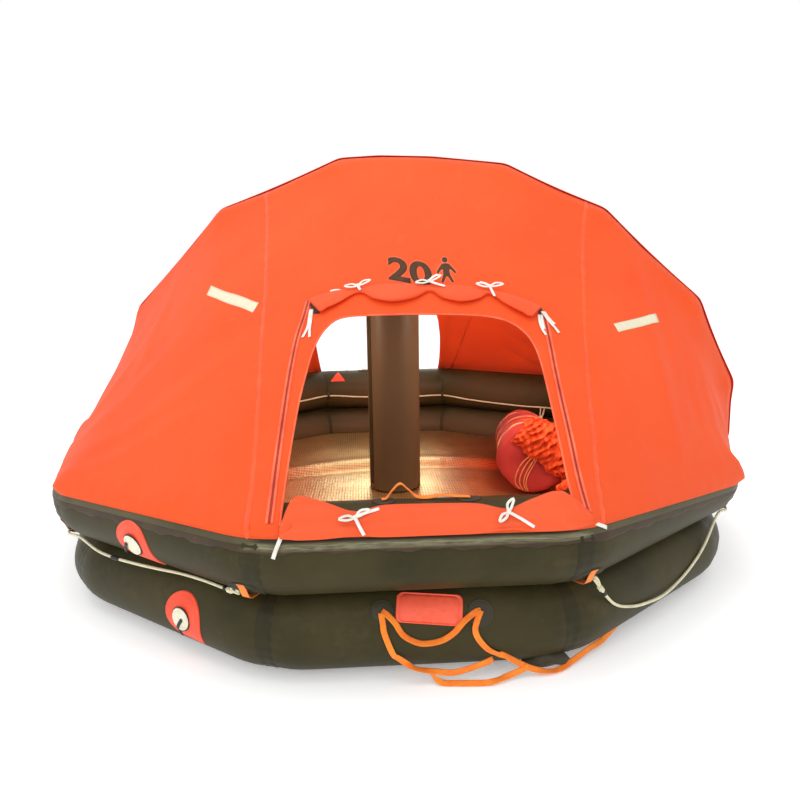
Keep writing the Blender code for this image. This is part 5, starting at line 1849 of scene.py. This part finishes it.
# Water pockets
# Four weighted bags of dark cloth are fixed under the floor and lie folded flat here. A fold of
# the front one shows in front of the lower tube.
pocket_cloth = cloth_finish("pocket_cloth", (0.034, 0.027, 0.014), (0.055, 0.044, 0.024), 0.0016, 0.6, 0.006)
POCKET_TURNS, POCKET_OUT = (0, 72, 180, 252), 1.2
POCKET_HALF_LONG, POCKET_HALF_WIDE, POCKET_EDGE_UP = 0.300, 0.190, 0.004
u, v = np.meshgrid(np.linspace(-1, 1, 46), np.linspace(-1, 1, 33), indexing="ij")
body = (1 - np.abs(u) ** 7) ** 0.5 * (1 - np.abs(v) ** 7) ** 0.5
creases = 1 + 0.12 * np.sin(u * 9 + 4 * np.sin(v * 3)) + 0.08 * np.sin(v * 13 + u * 5)
for number, turn in enumerate(POCKET_TURNS, 1):
    x, y = u * POCKET_HALF_LONG, v * POCKET_HALF_WIDE - POCKET_OUT
    top = np.stack([x, y, POCKET_EDGE_UP + (0.040 * body * creases).clip(0, 0.049)], axis=-1)
    under = np.stack([x, y, POCKET_EDGE_UP - 0.0035 * body], axis=-1)
    sheets = [grid_mesh("sheet", top), grid_mesh("sheet", under[::-1])]
    pocket = joined(f"water_pocket_{number}_cloth", sheets)
    welded(pocket, 0.0008)
    pocket.data.transform(Matrix.Rotation(math.radians(turn), 4, "Z"))
    finished(pocket, pocket_cloth, "pocket_fabric", f"water_pocket_{number}")
FOLD_START, FOLD_LONG, FOLD_OUT = 0.390, 0.190, 1.715
round_it = full_turn(24)
for half in HALVES:
    rings = []
    for share in np.linspace(0, 1, 40):
        size = math.sin(math.pi * min(max(share, 0.02), 0.98)) ** 0.5
        wave = 1 + 0.10 * np.sin(round_it * 3 + share * 11)
        y = -FOLD_OUT - 0.045 * size * np.cos(round_it) * wave
        z = 0.003 + 0.032 * size * (1 + np.sin(round_it) * wave)
        x = np.full_like(y, FOLD_START + FOLD_LONG * share)
        rings.append(np.stack([x, y, z.clip(0.001, 1)], axis=1))
    fold = grid_mesh(f"{half}_pocket_fold", np.array(rings), False, True)
    dressed(half, fold, pocket_cloth, "pocket_fabric")


# Gas cylinder
# A painted steel cylinder lies against the lower tube at the rear right. Two rubber straps hold it
# there.
painted = Finish("cylinder_paint", Specular_IOR_Level=0.5, Coat_Weight=0.15)
where = painted.place()
chips = painted.between(painted.noise(where, 55.0, 6, 0.7), 0.62, 0.68)
stain = painted.noise(where, 8.0, 5, 0.6)
grey = painted.mix(stain, (0.27, 0.28, 0.27), (0.36, 0.37, 0.36))
painted.done(
    colour=painted.mix(chips * 0.7, grey, (0.10, 0.08, 0.065)),
    roughness=stain * 0.2 + 0.32, normal=painted.bump(chips, 0.0004, 0.4),
)
CYLINDER_PROFILE = [
    # (radius, place along it) from the foot to the top of the valve
    (0.004, -0.276), (0.030, -0.278), (0.046, -0.279), (0.062, -0.270), (0.077, -0.252),
    (0.0845, -0.228), (0.085, -0.200), (0.085, -0.150), (0.085, -0.100), (0.085, -0.050), (0.085, 0.0),
    (0.085, 0.050), (0.085, 0.100), (0.085, 0.150), (0.085, 0.200), (0.0845, 0.228), (0.077, 0.252),
    (0.062, 0.270), (0.046, 0.279), (0.032, 0.282), (0.030, 0.288), (0.024, 0.291), (0.0215, 0.296),
    (0.0215, 0.330), (0.018, 0.333),
    (0.018, 0.337), (0.0215, 0.340), (0.0215, 0.347), (0.004, 0.3495),
]
CYLINDER_SIDE, CYLINDER_OUT, CYLINDER_UP = 144, 1.8674, 0.0852
cylinder_out, cylinder_run = out_way(CYLINDER_SIDE), side_way(CYLINDER_SIDE)
turn = full_turn(48)[:, None]
rings = []
for radius, along in CYLINDER_PROFILE:
    spot = cylinder_out * CYLINDER_OUT + UP * CYLINDER_UP + cylinder_run * along
    rings.append(spot + (cylinder_out * np.cos(turn) + UP * np.sin(turn)) * radius)
cylinder = grid_mesh("gas_cylinder_body", np.array(rings), False, True)
closed_up(cylinder)
finished(cylinder, painted.material, "cylinder_steel", "gas_cylinder")
STRAP_ROUTE = [
    # (out, up) of each rubber strap, from the lower tube over the cylinder and down
    (1.676, 0.3262), (1.716, 0.3085), (1.757, 0.2760), (1.808, 0.2290), (1.862, 0.1830), (1.908, 0.1640),
    (1.942, 0.1330), (1.9550, 0.0900), (1.9460, 0.0470), (1.918, 0.0150),
]
bands = []
for along in (-0.15, 0.15):
    route = spline(STRAP_ROUTE, 40)
    line = cylinder_out * route[:, :1] + UP * route[:, 1:] + cylinder_run * along
    outwards = np.cross(np.gradient(line, axis=0), cylinder_run)
    bands.append(ribbon("strap", line, outwards, 0.040, 0.0022, 5))
finished(joined("gas_cylinder_straps", bands), black_rubber, "cylinder_steel")


# Doorway patch
# A small triangle of orange-red cloth is glued to the inside of the upper tube beside the rear
# doorway. It is blank.
TRIANGLE = [
    (-1, -0.62), (-0.35, -0.62), (0.35, -0.62), (1, -0.62), (0.72, -0.12), (0.36, 0.52), (0.05, 1.1),
    (-0.05, 1.1), (-0.36, 0.52), (-0.72, -0.12),
]
TRIANGLE_SIZE, TRIANGLE_PLACE = 0.062, (0.405, math.radians(133) * TUBE_RADIUS)
outline = spline(TRIANGLE + TRIANGLE[:1], 41)[:-1][::-1] * (TRIANGLE_SIZE, -TRIANGLE_SIZE)
patch = tube_patch("inside_triangle_patch", "upper", 5, TRIANGLE_PLACE, outline)
finished(patch, patch_cloth, "webbing")
